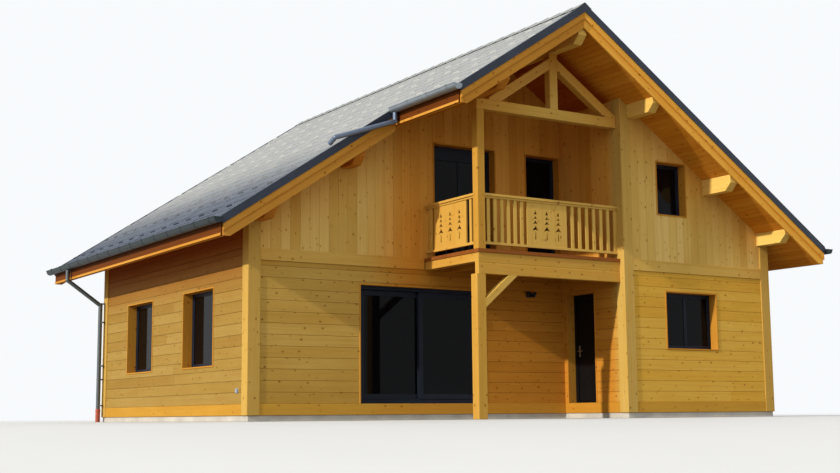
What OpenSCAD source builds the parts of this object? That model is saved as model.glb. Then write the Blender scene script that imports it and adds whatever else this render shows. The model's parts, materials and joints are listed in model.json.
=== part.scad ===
// Timber chalet on a low plinth: a gabled main block, a front wing on the right
// and, in the corner between them, a porch with a balcony above it.
// Millimetres. +Z is up, -Y is the gable front, the ridge runs along Y above x = 0,
// and the origin is on the ground at the middle of the main block.

/* [House] */
// Width across the gable front, over the corner posts
house_w = 10870; // [9500:10:12500]
// Depth of the main block, front face to back face
house_d = 7440; // [6500:10:9500]
// Distance from the ridge line to the front wing's left face
wing_x = 1505; // [1300:5:1750]
// How far the wing stands in front of the main block
wing_d = 1860; // [1500:10:2400]
// Height of the boarding's lower edge above the ground
plinth_h = 100; // [60:5:180]
// Height of the ground floor above the ground
ground_floor_z = 270; // [220:5:340]
// Height of the upper floor above the ground
upper_floor_z = 3005; // [2850:5:3200]
// Thickness of the upper floor
upper_floor_t = 250; // [180:5:300]

/* [Walls] */
// Whole thickness of a wall, boarding included
wall_t = 300; // [270:5:400]
// Thickness of the boards that clad the walls
board_t = 22; // [16:1:30]
// How far posts and bands stand in front of the boards
post_proud = 20; // [10:1:35]
// Width of the corner posts
corner_post = 240; // [160:5:250]
// Height of the band between the storeys
band_h = 210; // [160:5:260]
// Drop from the upper floor to the top of that band
band_drop = 8; // [0:1:30]
// How far the plinth stands behind the posts
plinth_in = 30; // [15:1:40]
// Open joint between the lowest boards at the inside corner
board_gap = 3; // [2:1:6]

/* [Roof] */
// Pitch of both slopes in degrees
roof_pitch = 33.5; // [30:0.5:36]
// Height of the soffit above the ground, at the outer faces of the side walls
wall_top_z = 3529; // [3300:1:3900]
// Overhang at the eaves, from the wall posts to the roof edge
eave_over = 765; // [500:5:1000]
// Overhang of the verge in front of the wing and the balcony
verge_over = 840; // [600:5:1100]
// Overhang of the verge in front of the main block's left part
verge_over_left = 620; // [450:5:900]
// Overhang of the verge behind the house
verge_over_back = 1150; // [700:5:1400]
// Distance from the ridge to the eave of the roof over the balcony
porch_eave_x = 2785; // [2400:5:3300]
// Depth of the soffit below the roof surface, measured plumb
soffit_drop = 400; // [340:5:460]
// Depth of the level cut under the roof's edge below the roof surface at the eave
nose_drop = 345; // [320:5:395]
// Depth of the tiles' underside below the verge trim, measured plumb
tile_drop = 75; // [55:5:110]
// Gap between sloping faces that rest on each other
seat = 0.3; // [0.2:0.1:0.5]
// Length of one course of tiles along the slope
tile_gauge = 375; // [300:5:450]
// Height of the step from one course of tiles to the next
tile_step = 22; // [10:1:30]
// Height of the metal trim along the verges
trim_h = 150; // [100:5:200]
// Thickness of the metal trim
trim_t = 12; // [4:1:20]
// Width of the trim's fold over the tiles
trim_fold = 70; // [40:5:120]
// Depth of the upper barge board's lower edge below the roof surface
barge_upper_drop = 280; // [240:5:330]
// Depth of the lower barge board's lower edge below the roof surface
barge_lower_drop = 450; // [420:5:500]
// Thickness of each barge board
barge_t = 30; // [20:1:45]
// Distance from the roof edge back to the upper barge board's end
barge_upper_end = 20; // [5:5:60]
// Distance from the roof edge back to the lower barge board's end
barge_lower_end = 30; // [10:5:160]
// Thickness of the boards along the eaves
fascia_t = 30; // [20:1:45]

/* [Purlins and truss] */
// Width of the purlins
purlin_w = 190; // [140:5:240]
// Distance from the wing's left face to the upper purlin's inner face
purlin_upper_in = 175; // [140:5:240]
// Depth of the upper purlins below the soffit at their inner face
purlin_upper_h = 270; // [220:5:330]
// Distance from the ridge to the right middle purlin's inner face
purlin_mid_right_x = 3655; // [3300:5:4000]
// Distance from the ridge to the left middle purlin's inner face
purlin_mid_left_x = 3400; // [3100:5:3800]
// Depth of the middle purlins below the soffit at their inner face
purlin_mid_h = 310; // [240:5:380]
// Depth of the wall plates below the soffit at their inner face
plate_h = 257; // [220:1:290]
// Distance from the verge back to the ends of the purlins
purlin_back = 95; // [80:5:200]
// Length and height of the bevel under each purlin's end
purlin_bevel = 150; // [80:5:180]
// Height of the ridge purlin
ridge_purlin_h = 320; // [240:5:400]
// How far the face of posts and truss stands behind the wing's face
frame_setback = 127; // [60:1:250]
// Side of the posts, the tie beam and the king post that form the frame
frame_t = 160; // [120:5:200]
// Height of the tie beam
tie_h = 197; // [150:1:240]
// Width of the king post
king_w = 185; // [140:5:220]
// Depth of the struts' upper edges below the soffit, measured plumb
strut_below = 350; // [300:5:450]
// Plumb height of the struts
strut_h = 219; // [160:1:240]

/* [Porch and balcony] */
// How much further from the ridge line the balcony ends than the wing's face
balcony_more = 280; // [225:5:400]
// Side of the porch post
porch_post = 190; // [160:5:220]
// Thickness of the balcony's deck
deck_t = 32; // [24:1:45]
// How far the deck stands over its beams
deck_nose = 20; // [5:1:40]
// Height of each balcony beam
beam_h = 189; // [150:1:220]
// Height of the second beam below the front one
under_beam_h = 225; // [160:1:240]
// Width of the balcony's joists
joist_w = 80; // [60:5:120]
// Number of joists between the side beam and the wing
joist_count = 4; // [3:1:6]
// Where the knee brace meets the beam, from the porch post
brace_run = 710; // [500:5:900]
// Where the knee brace meets the post, below the beam
brace_rise = 600; // [450:5:800]
// Width of the knee brace, measured along the beam
brace_w = 200; // [140:5:240]

/* [Railing] */
// Height of the handrail's top above the upper floor
rail_h = 1015; // [950:5:1150]
// Height of the handrail
handrail_h = 80; // [50:5:100]
// Width of the handrail
handrail_w = 110; // [80:5:140]
// Height of the handrail's cap, over a narrower rail
handrail_cap = 42; // [30:1:55]
// Height of the bottom rail
bottom_rail_h = 45; // [35:5:70]
// Thickness of the bottom rail
bottom_rail_t = 60; // [45:5:90]
// Gap between the deck and the bottom rail
bottom_gap = 95; // [60:5:120]
// Width of each baluster
baluster_w = 68; // [45:1:80]
// Thickness of balusters and panels
baluster_t = 28; // [20:1:40]
// Number of balusters on each side of the front panel
baluster_count = 6; // [4:1:7]
// Width of the front panel
panel_w = 930; // [800:5:1000]
// How far the front panel's middle is left of the railing's middle
panel_left = 120; // [0:5:200]
// Width of the side panel
side_panel_w = 1050; // [850:5:1100]
// Number of fir-tree cut-outs in each panel
tree_count = 3; // [2:1:4]
// Height of a fir-tree cut-out
tree_h = 560; // [480:5:600]
// Width of its lowest branches
tree_w = 162; // [110:1:190]
// Width of its trunk
trunk_w = 14; // [8:1:20]

/* [Windows] */
// Width of the window frames' members
frame_w = 70; // [50:1:90]
// Depth of the window frames
frame_d = 70; // [50:1:70]
// Width of a sash that shows inside its frame
sash_w = 42; // [30:1:48]
// How far the sashes are set back in the frame
sash_in = 10; // [5:1:15]
// Joint between two sashes
sash_joint = 5; // [3:1:8]
// Depth from the posts' face to a window frame
reveal = 200; // [160:5:225]
// Thickness of the boards that line the openings
lining_t = 25; // [15:1:35]
// How far the linings stand in front of the boards
lining_proud = 12; // [4:1:18]
// Thickness of the panes
glass_t = 24; // [18:1:32]
// Width of the windows in the side walls
side_win_w = 1403; // [1200:1:1500]
// Height of the ground floor windows
side_win_h = 1405; // [1200:1:1500]
// Height of the side windows' sills above the ground
side_win_z = 1006; // [900:1:1100]
// Distance from the front face to the first side window
side_win_y1 = 1513; // [1300:1:1700]
// Distance from the front face to the second side window
side_win_y2 = 4520; // [4300:1:4600]
// Width of the wing's ground floor window
wing_win_w = 1333; // [1100:1:1500]
// Height of the wing's ground floor window
wing_win_h = 1085; // [900:1:1200]
// Height of its sill above the ground
wing_win_z = 1323; // [1200:1:1350]
// Distance from the wing's left face to its left side
wing_win_in = 1065; // [850:5:1200]
// Width of the wing's upper window
attic_win_w = 751; // [600:1:900]
// Height of the wing's upper window
attic_win_h = 1030; // [850:1:1100]
// Gap between its lining and the soffit
attic_win_gap = 24; // [10:1:60]
// Distance from the wing's left face to its left side
attic_win_in = 918; // [800:1:1000]
// Distance from the ridge line to the middle of each upper window at the back
back_attic_x = 1211; // [800:1:1300]
// Width of the window that opens on the balcony
french_w = 1423; // [1200:1:1600]
// Height of the window and the door on the balcony
french_h = 2235; // [2100:5:2300]
// Distance from the balcony's left side to the window's left side
french_in = 226; // [210:1:300]
// Height of the shutter box in its head
shutter_h = 260; // [200:5:300]
// Width of the door on the balcony
balcony_door_w = 840; // [760:5:850]

/* [Doors] */
// Width of the sliding door on the terrace
patio_w = 2720; // [2400:5:2800]
// Height of the sliding door
patio_h = 2151; // [2000:1:2200]
// Distance from the ridge line to its left side
patio_x = -3188; // [-3300:1:-3000]
// Height of a door's threshold above the ground floor
threshold_h = 27; // [15:1:50]
// Depth from the posts' face to the sliding door
patio_reveal = 110; // [80:5:130]
// Width of the members of the sliding leaves
patio_member = 95; // [70:5:110]
// Thickness of a sliding leaf
patio_leaf_t = 50; // [40:1:60]
// Clear gap round a moving leaf
leaf_gap = 6; // [5:0.5:10]
// Gap between a moving leaf and what carries it
run_gap = 0.3; // [0.2:0.1:0.5]
// Width of the entrance door's opening
door_w = 830; // [760:5:900]
// Height of the entrance door's opening
door_h = 2140; // [2000:5:2200]
// Distance from the main block's front to the opening's near side
door_y = 100; // [60:5:160]
// Thickness of the entrance leaf
door_t = 68; // [50:1:68]
// Radius of the hinge knuckles
knuckle_r = 11; // [9:0.5:13]
// Height of one hinge knuckle
knuckle_h = 60; // [40:5:80]

/* [Rainwater] */
// Outer radius of the gutters
gutter_r = 88; // [60:1:100]
// Straight part of a gutter's section above its half round
gutter_rim = 12; // [0:1:30]
// Depth of the gutters' rim below the roof surface at the eave
gutter_drop = 45; // [35:1:80]
// Wall of the gutters and pipes
gutter_t = 4; // [3:0.5:6]
// Radius of the downpipes
pipe_r = 45; // [35:1:55]
// Height of the dark red foot piece of a downpipe
pipe_foot_h = 280; // [200:5:500]
// Bead round the pipes' elbows
elbow_bead = 3; // [2:0.5:6]
// Gap between a wall post and its downpipe
pipe_gap = 60; // [40:5:120]

/* [Lamp] */
// Distance from the wing's left face to the middle of the wall lamp
lamp_in = 835; // [600:5:1100]
// Height of the wall lamp above the ground floor
lamp_h = 2155; // [1900:5:2200]
// Radius of its two shades
shade_r = 32; // [25:1:45]
// Length of its two shades
shade_h = 110; // [80:1:150]
// Distance from the middle of the lamp to each shade
shade_x = 75; // [60:1:110]
// Distance from the wall's face to the shades' middle
shade_y = 60; // [50:1:90]

/* [Hidden] */

$fn = 48;
slack = 1;
slope = tan(roof_pitch);
half_w = house_w / 2;
half_d = house_d / 2;
ridge_z = wall_top_z + soffit_drop + slope * half_w;
wing_y = -half_d - wing_d;
frame_y = wing_y + frame_setback;
balcony_left_x = wing_x + balcony_more;
threshold_z = ground_floor_z + threshold_h;
skin = post_proud + board_t;
storey_z = upper_floor_z - band_drop - band_h / 2;
eave_x = half_w + eave_over;
front_verge = wing_y - verge_over;
left_verge = -half_d - verge_over_left;
back_verge = half_d + verge_over_back;
barge_in = trim_t + 2 * barge_t;
plate_x = half_w - wall_t;
plate_z = roof_z(plate_x, soffit_drop + plate_h);
purlin_upper_x = wing_x + purlin_upper_in;
tie_top = roof_z(purlin_upper_x, soffit_drop + purlin_upper_h);
tie_z = tie_top - tie_h;
deck_z = upper_floor_z;
beam_z = deck_z - deck_t - beam_h;
wing_win_x = wing_x + wing_win_in;
attic_win_x = wing_x + attic_win_in;
attic_win_z = roof_z(attic_win_x + attic_win_w + lining_t, soffit_drop)
    - attic_win_gap - lining_t - attic_win_h;
french_x = -balcony_left_x + french_in;

// Height of the roof surface above a point x, lowered by a plumb drop
function roof_z(x, drop = 0) = ridge_z - drop - slope * abs(x);

// Outline of a stretch of one slope between two plumb depths
function slope_outline(x0, x1, top, bottom) = [
    [x0, roof_z(x0, bottom)], [x1, roof_z(x1, bottom)],
    [x1, roof_z(x1, top)], [x0, roof_z(x0, top)]
];

// A flat outline in x and z, drawn out from y0 to y1
module along_y(y0, y1) translate([0, y1, 0]) rotate([90, 0, 0])
    linear_extrude(y1 - y0) children();

// A flat outline in y and z, drawn out from x0 to x1
module along_x(x0, x1) translate([x0, 0, 0]) rotate([90, 0, 90])
    linear_extrude(x1 - x0) children();

// A box between two corners
module block(low, high) translate(low) cube(high - low);

// A ring of four members, outer size w by h, in local x and z
module ring(w, h, member, depth) difference() {
    cube([w, depth, h]);
    translate([member, -slack, member])
        cube([w - 2 * member, depth + 2 * slack, h - 2 * member]);
}

// Places for what sits in the walls. Locally x runs along the wall seen from outside,
// y runs inwards from the posts' face and z starts at the sill.
module at_front(x, z) translate([x, -half_d, z]) children();
module at_wing_front(x, z) translate([x, wing_y, z]) children();
module at_wing_side(y, z) translate([wing_x, y, z]) rotate([0, 0, -90]) children();
module at_left(y, z) translate([-half_w, y, z]) rotate([0, 0, -90]) children();
module at_right(y, z) translate([half_w, y, z]) rotate([0, 0, 90]) children();
module at_back(x, z) translate([x, half_d, z]) rotate([0, 0, 180]) children();

// Each group of windows hands its size and its number of leaves to what is placed there
module left_windows() for (y = [side_win_y1, side_win_y2])
    at_left(-half_d + y + side_win_w, side_win_z)
        let ($w = side_win_w, $h = side_win_h, $leaves = 1) children();
module right_windows() for (y = [side_win_y1, side_win_y2])
    at_right(-half_d + y, side_win_z)
        let ($w = side_win_w, $h = side_win_h, $leaves = 1) children();
module back_windows() for (x = [-1, 1])
    at_back(x * half_w / 2 + wing_win_w / 2, wing_win_z)
        let ($w = wing_win_w, $h = wing_win_h, $leaves = 2) children();
module wing_window() at_wing_front(wing_win_x, wing_win_z)
    let ($w = wing_win_w, $h = wing_win_h, $leaves = 2) children();
module attic_window() at_wing_front(attic_win_x, attic_win_z)
    let ($w = attic_win_w, $h = attic_win_h, $leaves = 1) children();
module back_attic_windows() for (x = [-1, 1])
    at_back(x * back_attic_x + attic_win_w / 2, attic_win_z)
        let ($w = attic_win_w, $h = attic_win_h, $leaves = 1) children();
module french_window() at_front(french_x, deck_z)
    let ($w = french_w, $h = french_h, $leaves = 2) children();
module balcony_door() at_front(wing_x - lining_t - balcony_door_w, deck_z)
    let ($w = balcony_door_w, $h = french_h, $leaves = 1) children();
module patio() at_front(patio_x, threshold_z)
    let ($w = patio_w, $h = patio_h) children();
module entrance() at_wing_side(-half_d - door_y, threshold_z)
    let ($w = door_w, $h = door_h) children();

// The hole in the wall, as wide as the opening and its lining
module hole() translate([-lining_t, -slack, -lining_t])
    cube([$w + 2 * lining_t, wall_t + 2 * slack, $h + 2 * lining_t]);

module lining(depth) translate([-lining_t, post_proud - lining_proud, -lining_t])
    ring($w + 2 * lining_t, $h + 2 * lining_t, lining_t, depth - post_proud + lining_proud);

// A lining with two sides and a head, for a doorway
module door_lining(depth) difference() {
    translate([-lining_t, post_proud - lining_proud, 0])
        cube([$w + 2 * lining_t, depth - post_proud + lining_proud, $h + lining_t]);
    translate([0, 0, -slack]) cube([$w, depth + slack, $h + slack]);
}

// Frame seated behind the lining, with its sashes set back in it and a joint between two
// sashes; the head can be a deep shutter box
module window_frame(head = frame_w, foot = lining_t) translate([0, reveal, 0]) difference() {
    translate([-lining_t, 0, -foot])
        cube([$w + 2 * lining_t, frame_d, $h + lining_t + foot]);
    translate([frame_w - sash_w, -slack, frame_w - sash_w])
        cube([$w - 2 * (frame_w - sash_w), sash_in + slack,
            $h - frame_w - head + 2 * sash_w - max(0, sign(head - frame_w)) * sash_w]);
    for (i = [1 : 1 : $leaves - 1]) translate([leaf_x(i) - (frame_w + sash_joint) / 2,
        -slack, frame_w - sash_w])
        cube([sash_joint, 2 * sash_in + slack, $h - frame_w - head + sash_w]);
    for (i = [0 : $leaves - 1]) translate([leaf_x(i), -slack, frame_w])
        cube([leaf_w(), frame_d + 2 * slack, $h - frame_w - head]);
}
function leaf_w() = ($w - frame_w * ($leaves + 1)) / $leaves;
function leaf_x(i) = frame_w + i * (leaf_w() + frame_w);
module window_glass(head = frame_w) translate([0, reveal + (frame_d - glass_t) / 2, 0])
    for (i = [0 : $leaves - 1]) translate([leaf_x(i), 0, frame_w])
        cube([leaf_w(), glass_t, $h - frame_w - head]);

// Purlins

module purlin(x0, x1, bottom, y0, y1) intersection() {
    along_y(y0, y1) polygon([[x0, bottom], [x1, bottom],
        [x1, roof_z(x1, soffit_drop)], [x0, roof_z(x0, soffit_drop)]]);
    along_x(min(x0, x1) - slack, max(x0, x1) + slack) purlin_side(bottom, y0, y1);
}
module purlin_side(bottom, y0, y1) polygon([
    [y0, ridge_z], [y0, bottom + purlin_bevel], [y0 + purlin_bevel, bottom],
    [y1 - purlin_bevel, bottom], [y1, bottom + purlin_bevel], [y1, ridge_z]]);

function mid_bottom(x) = roof_z(x, soffit_drop + purlin_mid_h);
purlin_front = front_verge + purlin_back;
purlin_left_front = left_verge + purlin_back;
purlin_rear = back_verge - purlin_back;

module purlins_left() color("#c98a45") {
    purlin(-purlin_upper_x - purlin_w, -purlin_upper_x, tie_top, purlin_front, purlin_rear);
    purlin(-purlin_mid_left_x - purlin_w, -purlin_mid_left_x, mid_bottom(purlin_mid_left_x),
        purlin_left_front, purlin_rear);
    purlin(-plate_x - purlin_w, -plate_x, plate_z, purlin_left_front, purlin_rear);
}
module purlins_right() color("#c98a45") {
    purlin(purlin_upper_x, purlin_upper_x + purlin_w, tie_top, purlin_front, purlin_rear);
    purlin(purlin_mid_right_x, purlin_mid_right_x + purlin_w, mid_bottom(purlin_mid_right_x),
        purlin_front, purlin_rear);
    purlin(plate_x, plate_x + purlin_w, plate_z, purlin_front, purlin_rear);
}
ridge_purlin_z = roof_z(0, soffit_drop + ridge_purlin_h);
module ridge_purlin() color("#c98a45") intersection() {
    along_y(purlin_front, purlin_rear) polygon([
        [-purlin_w / 2, ridge_purlin_z], [purlin_w / 2, ridge_purlin_z],
        [purlin_w / 2, roof_z(purlin_w / 2, soffit_drop)], [0, roof_z(0, soffit_drop)],
        [-purlin_w / 2, roof_z(purlin_w / 2, soffit_drop)]]);
    along_x(-purlin_w, purlin_w) purlin_side(ridge_purlin_z, purlin_front, purlin_rear);
}

// Outline of the pockets that the purlins need in gables and posts, open at the top
module pocket(x0, x1, bottom) translate([x0, bottom]) square([x1 - x0, ridge_z]);
module purlin_pockets() {
    pocket(-purlin_upper_x - purlin_w, -purlin_upper_x, tie_top);
    pocket(-purlin_mid_left_x - purlin_w, -purlin_mid_left_x, mid_bottom(purlin_mid_left_x));
    pocket(-plate_x - purlin_w, -plate_x, plate_z);
    pocket(purlin_upper_x, purlin_upper_x + purlin_w, tie_top);
    pocket(purlin_mid_right_x, purlin_mid_right_x + purlin_w, mid_bottom(purlin_mid_right_x));
    pocket(plate_x, plate_x + purlin_w, plate_z);
    pocket(-purlin_w / 2, purlin_w / 2, ridge_purlin_z);
}

// Floors and plinth

module ground_floor() color("#b9b4a8") union() {
    block([-half_w + plinth_in, -half_d + plinth_in, 0],
        [half_w - plinth_in, half_d - plinth_in, ground_floor_z]);
    block([wing_x + plinth_in, wing_y + plinth_in, 0],
        [half_w - plinth_in, 0, ground_floor_z]);
}

// The lowest boards stand in front of the plinth, one solid to each side
module sill_boards() color("#b5752f") {
    run_x(-half_w + corner_post, wing_x + post_proud / 2 - board_gap, -half_d);
    run_x(wing_x + corner_post, half_w - corner_post, wing_y);
    mirror([0, 1, 0]) run_x(-half_w + corner_post, half_w - corner_post, -half_d);
    run_y(-half_d + corner_post, half_d - corner_post, -half_w);
    mirror([1, 0, 0]) run_y(wing_y + corner_post, half_d - corner_post, -half_w);
    run_y(wing_y + corner_post, -half_d + plinth_in, wing_x);
}
module run_x(x0, x1, y) block([x0, y + post_proud / 2, plinth_h],
    [x1, y + plinth_in, threshold_z]);
module run_y(y0, y1, x) block([x + post_proud / 2, y0, plinth_h],
    [x + plinth_in, y1, threshold_z]);

module upper_floor() color("#c9a06a") union() {
    block([-half_w + wall_t, -half_d + wall_t, upper_floor_z - upper_floor_t],
        [half_w - wall_t, half_d - wall_t, upper_floor_z]);
    block([wing_x + wall_t, wing_y + wall_t, upper_floor_z - upper_floor_t],
        [half_w - wall_t, 0, upper_floor_z]);
}

// Walls

siding = "#dca458";

// Cross-section of the left wall, with a seat for the wall plate in its head
module side_wall_section() polygon([
    [-half_w + skin, ground_floor_z], [-plate_x, ground_floor_z],
    [-plate_x, plate_z], [-plate_x - purlin_w, plate_z],
    [-plate_x - purlin_w, roof_z(plate_x + purlin_w, soffit_drop)],
    [-half_w + skin, roof_z(half_w - skin, soffit_drop)]]);

// The end of a side wall, where the gable wall passes behind the corner post
module side_wall(y0, y1) difference() {
    along_y(y0 + corner_post, y1 - corner_post) side_wall_section();
    for (y = [y0 + corner_post, y1 - wall_t])
        block([-half_w + corner_post, y - slack, 0],
            [-plate_x + slack, y + wall_t - corner_post + slack, ridge_z]);
}
module left_wall() color(siding) difference() {
    side_wall(-half_d, half_d);
    left_windows() hole();
}
module right_wall() color(siding) difference() {
    mirror([1, 0, 0]) side_wall(wing_y, half_d);
    right_windows() hole();
}
module back_wall() color(siding) difference() {
    block([-half_w + corner_post, half_d - wall_t, ground_floor_z],
        [half_w - corner_post, half_d - skin, storey_z]);
    back_windows() hole();
}
patio_left = patio_x - lining_t;
patio_right = patio_x + patio_w + lining_t;
patio_top = threshold_z + patio_h + lining_t;
module front_wall() color(siding)
    block([-half_w + corner_post, -half_d + skin, ground_floor_z],
        [patio_left, -half_d + wall_t, storey_z]);
module patio_lintel() color(siding)
    block([patio_left, -half_d + skin, patio_top],
        [patio_right, -half_d + wall_t, storey_z]);
module porch_wall() color(siding)
    block([patio_right, -half_d + skin, ground_floor_z],
        [wing_x + skin, -half_d + wall_t, storey_z]);

door_near = -half_d - door_y + lining_t;
door_far = -half_d - door_y - door_w - lining_t;
door_top = threshold_z + door_h + lining_t;
module wing_side_wall() color(siding) {
    block([wing_x + skin, wing_y + wall_t, ground_floor_z],
        [wing_x + wall_t, door_far, storey_z]);
    block([wing_x + skin, door_near, ground_floor_z],
        [wing_x + wall_t, -half_d + wall_t, storey_z]);
    block([wing_x + skin, wing_y + corner_post, ground_floor_z],
        [wing_x + corner_post, wing_y + wall_t + slack, storey_z]);
}
module door_lintel() color(siding)
    block([wing_x + skin, door_far, door_top],
        [wing_x + wall_t, door_near, storey_z]);
module wing_front_wall() color(siding) difference() {
    block([wing_x + corner_post, wing_y + skin, ground_floor_z],
        [half_w - corner_post, wing_y + wall_t, storey_z]);
    wing_window() hole();
}

// Outline of a gable from x0 to x1, from the middle of the band to the soffit
function gable_outline(x0, x1) = [
    [x0, storey_z], [x1, storey_z], [x1, roof_z(x1, soffit_drop)],
    if (x0 < 0 && x1 > 0) [0, roof_z(0, soffit_drop)],
    [x0, roof_z(x0, soffit_drop)]];

// Outline of a hole for an opening and its lining; foot is the lining below the opening
module hole_outline(x, z, w, h, foot) translate([x - lining_t, z - foot])
    square([w + 2 * lining_t, h + lining_t + foot]);

module front_gable() color("#cfa76c") along_y(-half_d + skin, -half_d + wall_t) difference() {
    polygon(gable_outline(-half_w + corner_post, wing_x + skin));
    purlin_pockets();
    hole_outline(french_x, deck_z, french_w, french_h, 0);
    hole_outline(wing_x - lining_t - balcony_door_w, deck_z, balcony_door_w, french_h, 0);
}
module wing_gable() color("#cfa76c") along_y(wing_y + skin, wing_y + wall_t) difference() {
    polygon(gable_outline(wing_x + corner_post, half_w - corner_post));
    purlin_pockets();
    hole_outline(attic_win_x, attic_win_z, attic_win_w, attic_win_h, lining_t);
}
module wing_upper_side() color("#cfa76c") union() {
    along_y(wing_y + wall_t, -half_d + wall_t) difference() {
        polygon(gable_outline(wing_x + skin, wing_x + wall_t));
        purlin_pockets();
    }
    along_y(wing_y + corner_post, wing_y + wall_t + slack) difference() {
        polygon(gable_outline(wing_x + skin, wing_x + corner_post));
        purlin_pockets();
    }
}
module back_gable() color("#cfa76c") along_y(half_d - wall_t, half_d - skin) difference() {
    polygon(gable_outline(-half_w + corner_post, half_w - corner_post));
    purlin_pockets();
    for (x = [-1, 1]) hole_outline(x * back_attic_x - attic_win_w / 2, attic_win_z,
        attic_win_w, attic_win_h, lining_t);
}

module belly_bands() color("#d09a4e") {
    band_x(-half_w + corner_post, -balcony_left_x - deck_nose, -half_d);
    band_x(wing_x + corner_post, half_w - corner_post, wing_y);
    mirror([0, 1, 0]) band_x(-half_w + corner_post, half_w - corner_post, -half_d);
}
module band_x(x0, x1, y)
    block([x0, y, storey_z - band_h / 2], [x1, y + skin, storey_z + band_h / 2]);

// Corner posts stop at the soffit and carry the wall plates
module corner_post_at(x, y, sx, sy) difference() {
    along_y(min(y, y + sy * corner_post), max(y, y + sy * corner_post)) difference() {
        polygon([[x, plinth_h], [x + sx * corner_post, plinth_h],
            [x + sx * corner_post, roof_z(x + sx * corner_post, soffit_drop)],
            [x, roof_z(x, soffit_drop)]]);
        purlin_pockets();
    }
    ground_floor();
}
module corner_posts() color("#d7a050") {
    corner_post_at(-half_w, -half_d, 1, 1);
    corner_post_at(-half_w, half_d, 1, -1);
    corner_post_at(half_w, half_d, -1, -1);
    corner_post_at(half_w, wing_y, -1, 1);
    corner_post_at(wing_x, wing_y, 1, 1);
}

module opening_linings() color("#c48a3e") {
    left_windows() lining(reveal);
    right_windows() lining(reveal);
    back_windows() lining(reveal);
    wing_window() lining(reveal);
    attic_window() lining(reveal);
    back_attic_windows() lining(reveal);
    french_window() door_lining(reveal);
    balcony_door() door_lining(reveal);
    patio() door_lining(patio_reveal);
    entrance() door_lining(reveal);
}

// Roof

module slope_slab(x0, x1, y0, y1, top, bottom) along_y(y0, y1)
    polygon(slope_outline(x0, x1, top, bottom));

// The same from x0 outwards, with its lower corner at the eave cut level
module eave_slab(x0, x1, eave, y0, y1, top, bottom)
    let (level = roof_z(eave, nose_drop), nose_x = (roof_z(0, bottom) - level) / slope)
    along_y(y0, y1) polygon([[x0, roof_z(x0, top)], [x1, roof_z(x1, top)], [x1, level],
        [nose_x, level], [x0, roof_z(x0, bottom)]]);

slab_bottom = soffit_drop - seat;
module slab(eave, y0, y1)
    eave_slab(0, eave - fascia_t, eave, y0 + barge_in, y1 + barge_in, tile_drop, slab_bottom);
module roof_left() color("#c07a35")
    mirror([1, 0, 0]) slab(eave_x, left_verge, back_verge - 2 * barge_in);
module roof_right() color("#c07a35") slab(eave_x, front_verge, back_verge - 2 * barge_in);
module roof_porch() color("#c07a35")
    mirror([1, 0, 0]) slab(porch_eave_x, front_verge, left_verge);

// Stepped courses of tiles from the eave up to the ridge, all in one profile; they end
// just below the fold of the trim
tile_clear = 4;
tile_under = tile_drop - seat;
tile_body = tile_drop - trim_t - tile_step - tile_clear;
function course_points(x_eave) =
    let (run = tile_gauge * cos(roof_pitch), n = ceil(x_eave / run))
    [for (i = [0 : n - 1]) let (low = x_eave - i * run, high = max(low - run, 0))
        each [[low, roof_z(low, tile_drop - tile_body - tile_step)],
            [high, roof_z(high, tile_drop - tile_body)]]];
module tile_profile(x_eave) polygon(concat(
    [[0, roof_z(0, tile_under)], [x_eave, roof_z(x_eave, tile_under)]],
    course_points(x_eave)));
module tiles_left() color("#4c525c") mirror([1, 0, 0])
    along_y(left_verge + trim_t, back_verge - trim_t) tile_profile(eave_x);
module tiles_right() color("#4c525c")
    along_y(front_verge + trim_t, back_verge - trim_t) tile_profile(eave_x);
module tiles_porch() color("#4c525c") mirror([1, 0, 0])
    along_y(front_verge + trim_t, left_verge + trim_t) tile_profile(porch_eave_x);

ridge_cap_w = 150;
ridge_cap_t = 18;
module ridge_cap() color("#3b424e") along_y(front_verge, back_verge) polygon([
    [-ridge_cap_w, roof_z(ridge_cap_w)], [0, roof_z(0)], [ridge_cap_w, roof_z(ridge_cap_w)],
    [ridge_cap_w, roof_z(ridge_cap_w, -ridge_cap_t)], [0, roof_z(0, -ridge_cap_t)],
    [-ridge_cap_w, roof_z(ridge_cap_w, -ridge_cap_t)]]);

// Trim and boards along one verge; out is -1 in front and 1 at the back
module verge_trim(x0, x1, y, out) {
    slope_slab(x0, x1, min(y, y - out * trim_t), max(y, y - out * trim_t), 0, trim_h);
    slope_slab(x0, x1, min(y, y - out * trim_fold), max(y, y - out * trim_fold), 0, trim_t);
}
module verge_boards(x0, x1, y, out) let (a = y - out * trim_t, b = a - out * barge_t,
    c = b - out * barge_t) {
    slope_slab(x0, x1 - barge_upper_end, min(a, b), max(a, b), tile_drop, barge_upper_drop);
    eave_slab(x0, x1 - barge_lower_end, x1, min(b, c), max(b, c), tile_drop,
        barge_lower_drop);
}
module verge_trim_left() color("#2f3847") mirror([1, 0, 0]) {
    verge_trim(0, porch_eave_x, front_verge, -1);
    verge_trim(porch_eave_x, eave_x, left_verge, -1);
    verge_trim(0, eave_x, back_verge, 1);
}
module verge_trim_right() color("#2f3847") {
    verge_trim(0, eave_x, front_verge, -1);
    verge_trim(0, eave_x, back_verge, 1);
}
module barge_left() color("#cf8f42") mirror([1, 0, 0]) {
    verge_boards(0, porch_eave_x, front_verge, -1);
    verge_boards(porch_eave_x, eave_x, left_verge, -1);
    verge_boards(0, eave_x, back_verge, 1);
}
module barge_right() color("#cf8f42") {
    verge_boards(0, eave_x, front_verge, -1);
    verge_boards(0, eave_x, back_verge, 1);
}
module fascias() color("#b77632") {
    mirror([1, 0, 0]) fascia(eave_x, left_verge + barge_in, back_verge - barge_in);
    fascia(eave_x, front_verge + barge_in, back_verge - barge_in);
    mirror([1, 0, 0]) fascia(porch_eave_x, front_verge + barge_in, left_verge + barge_in);
}
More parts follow.
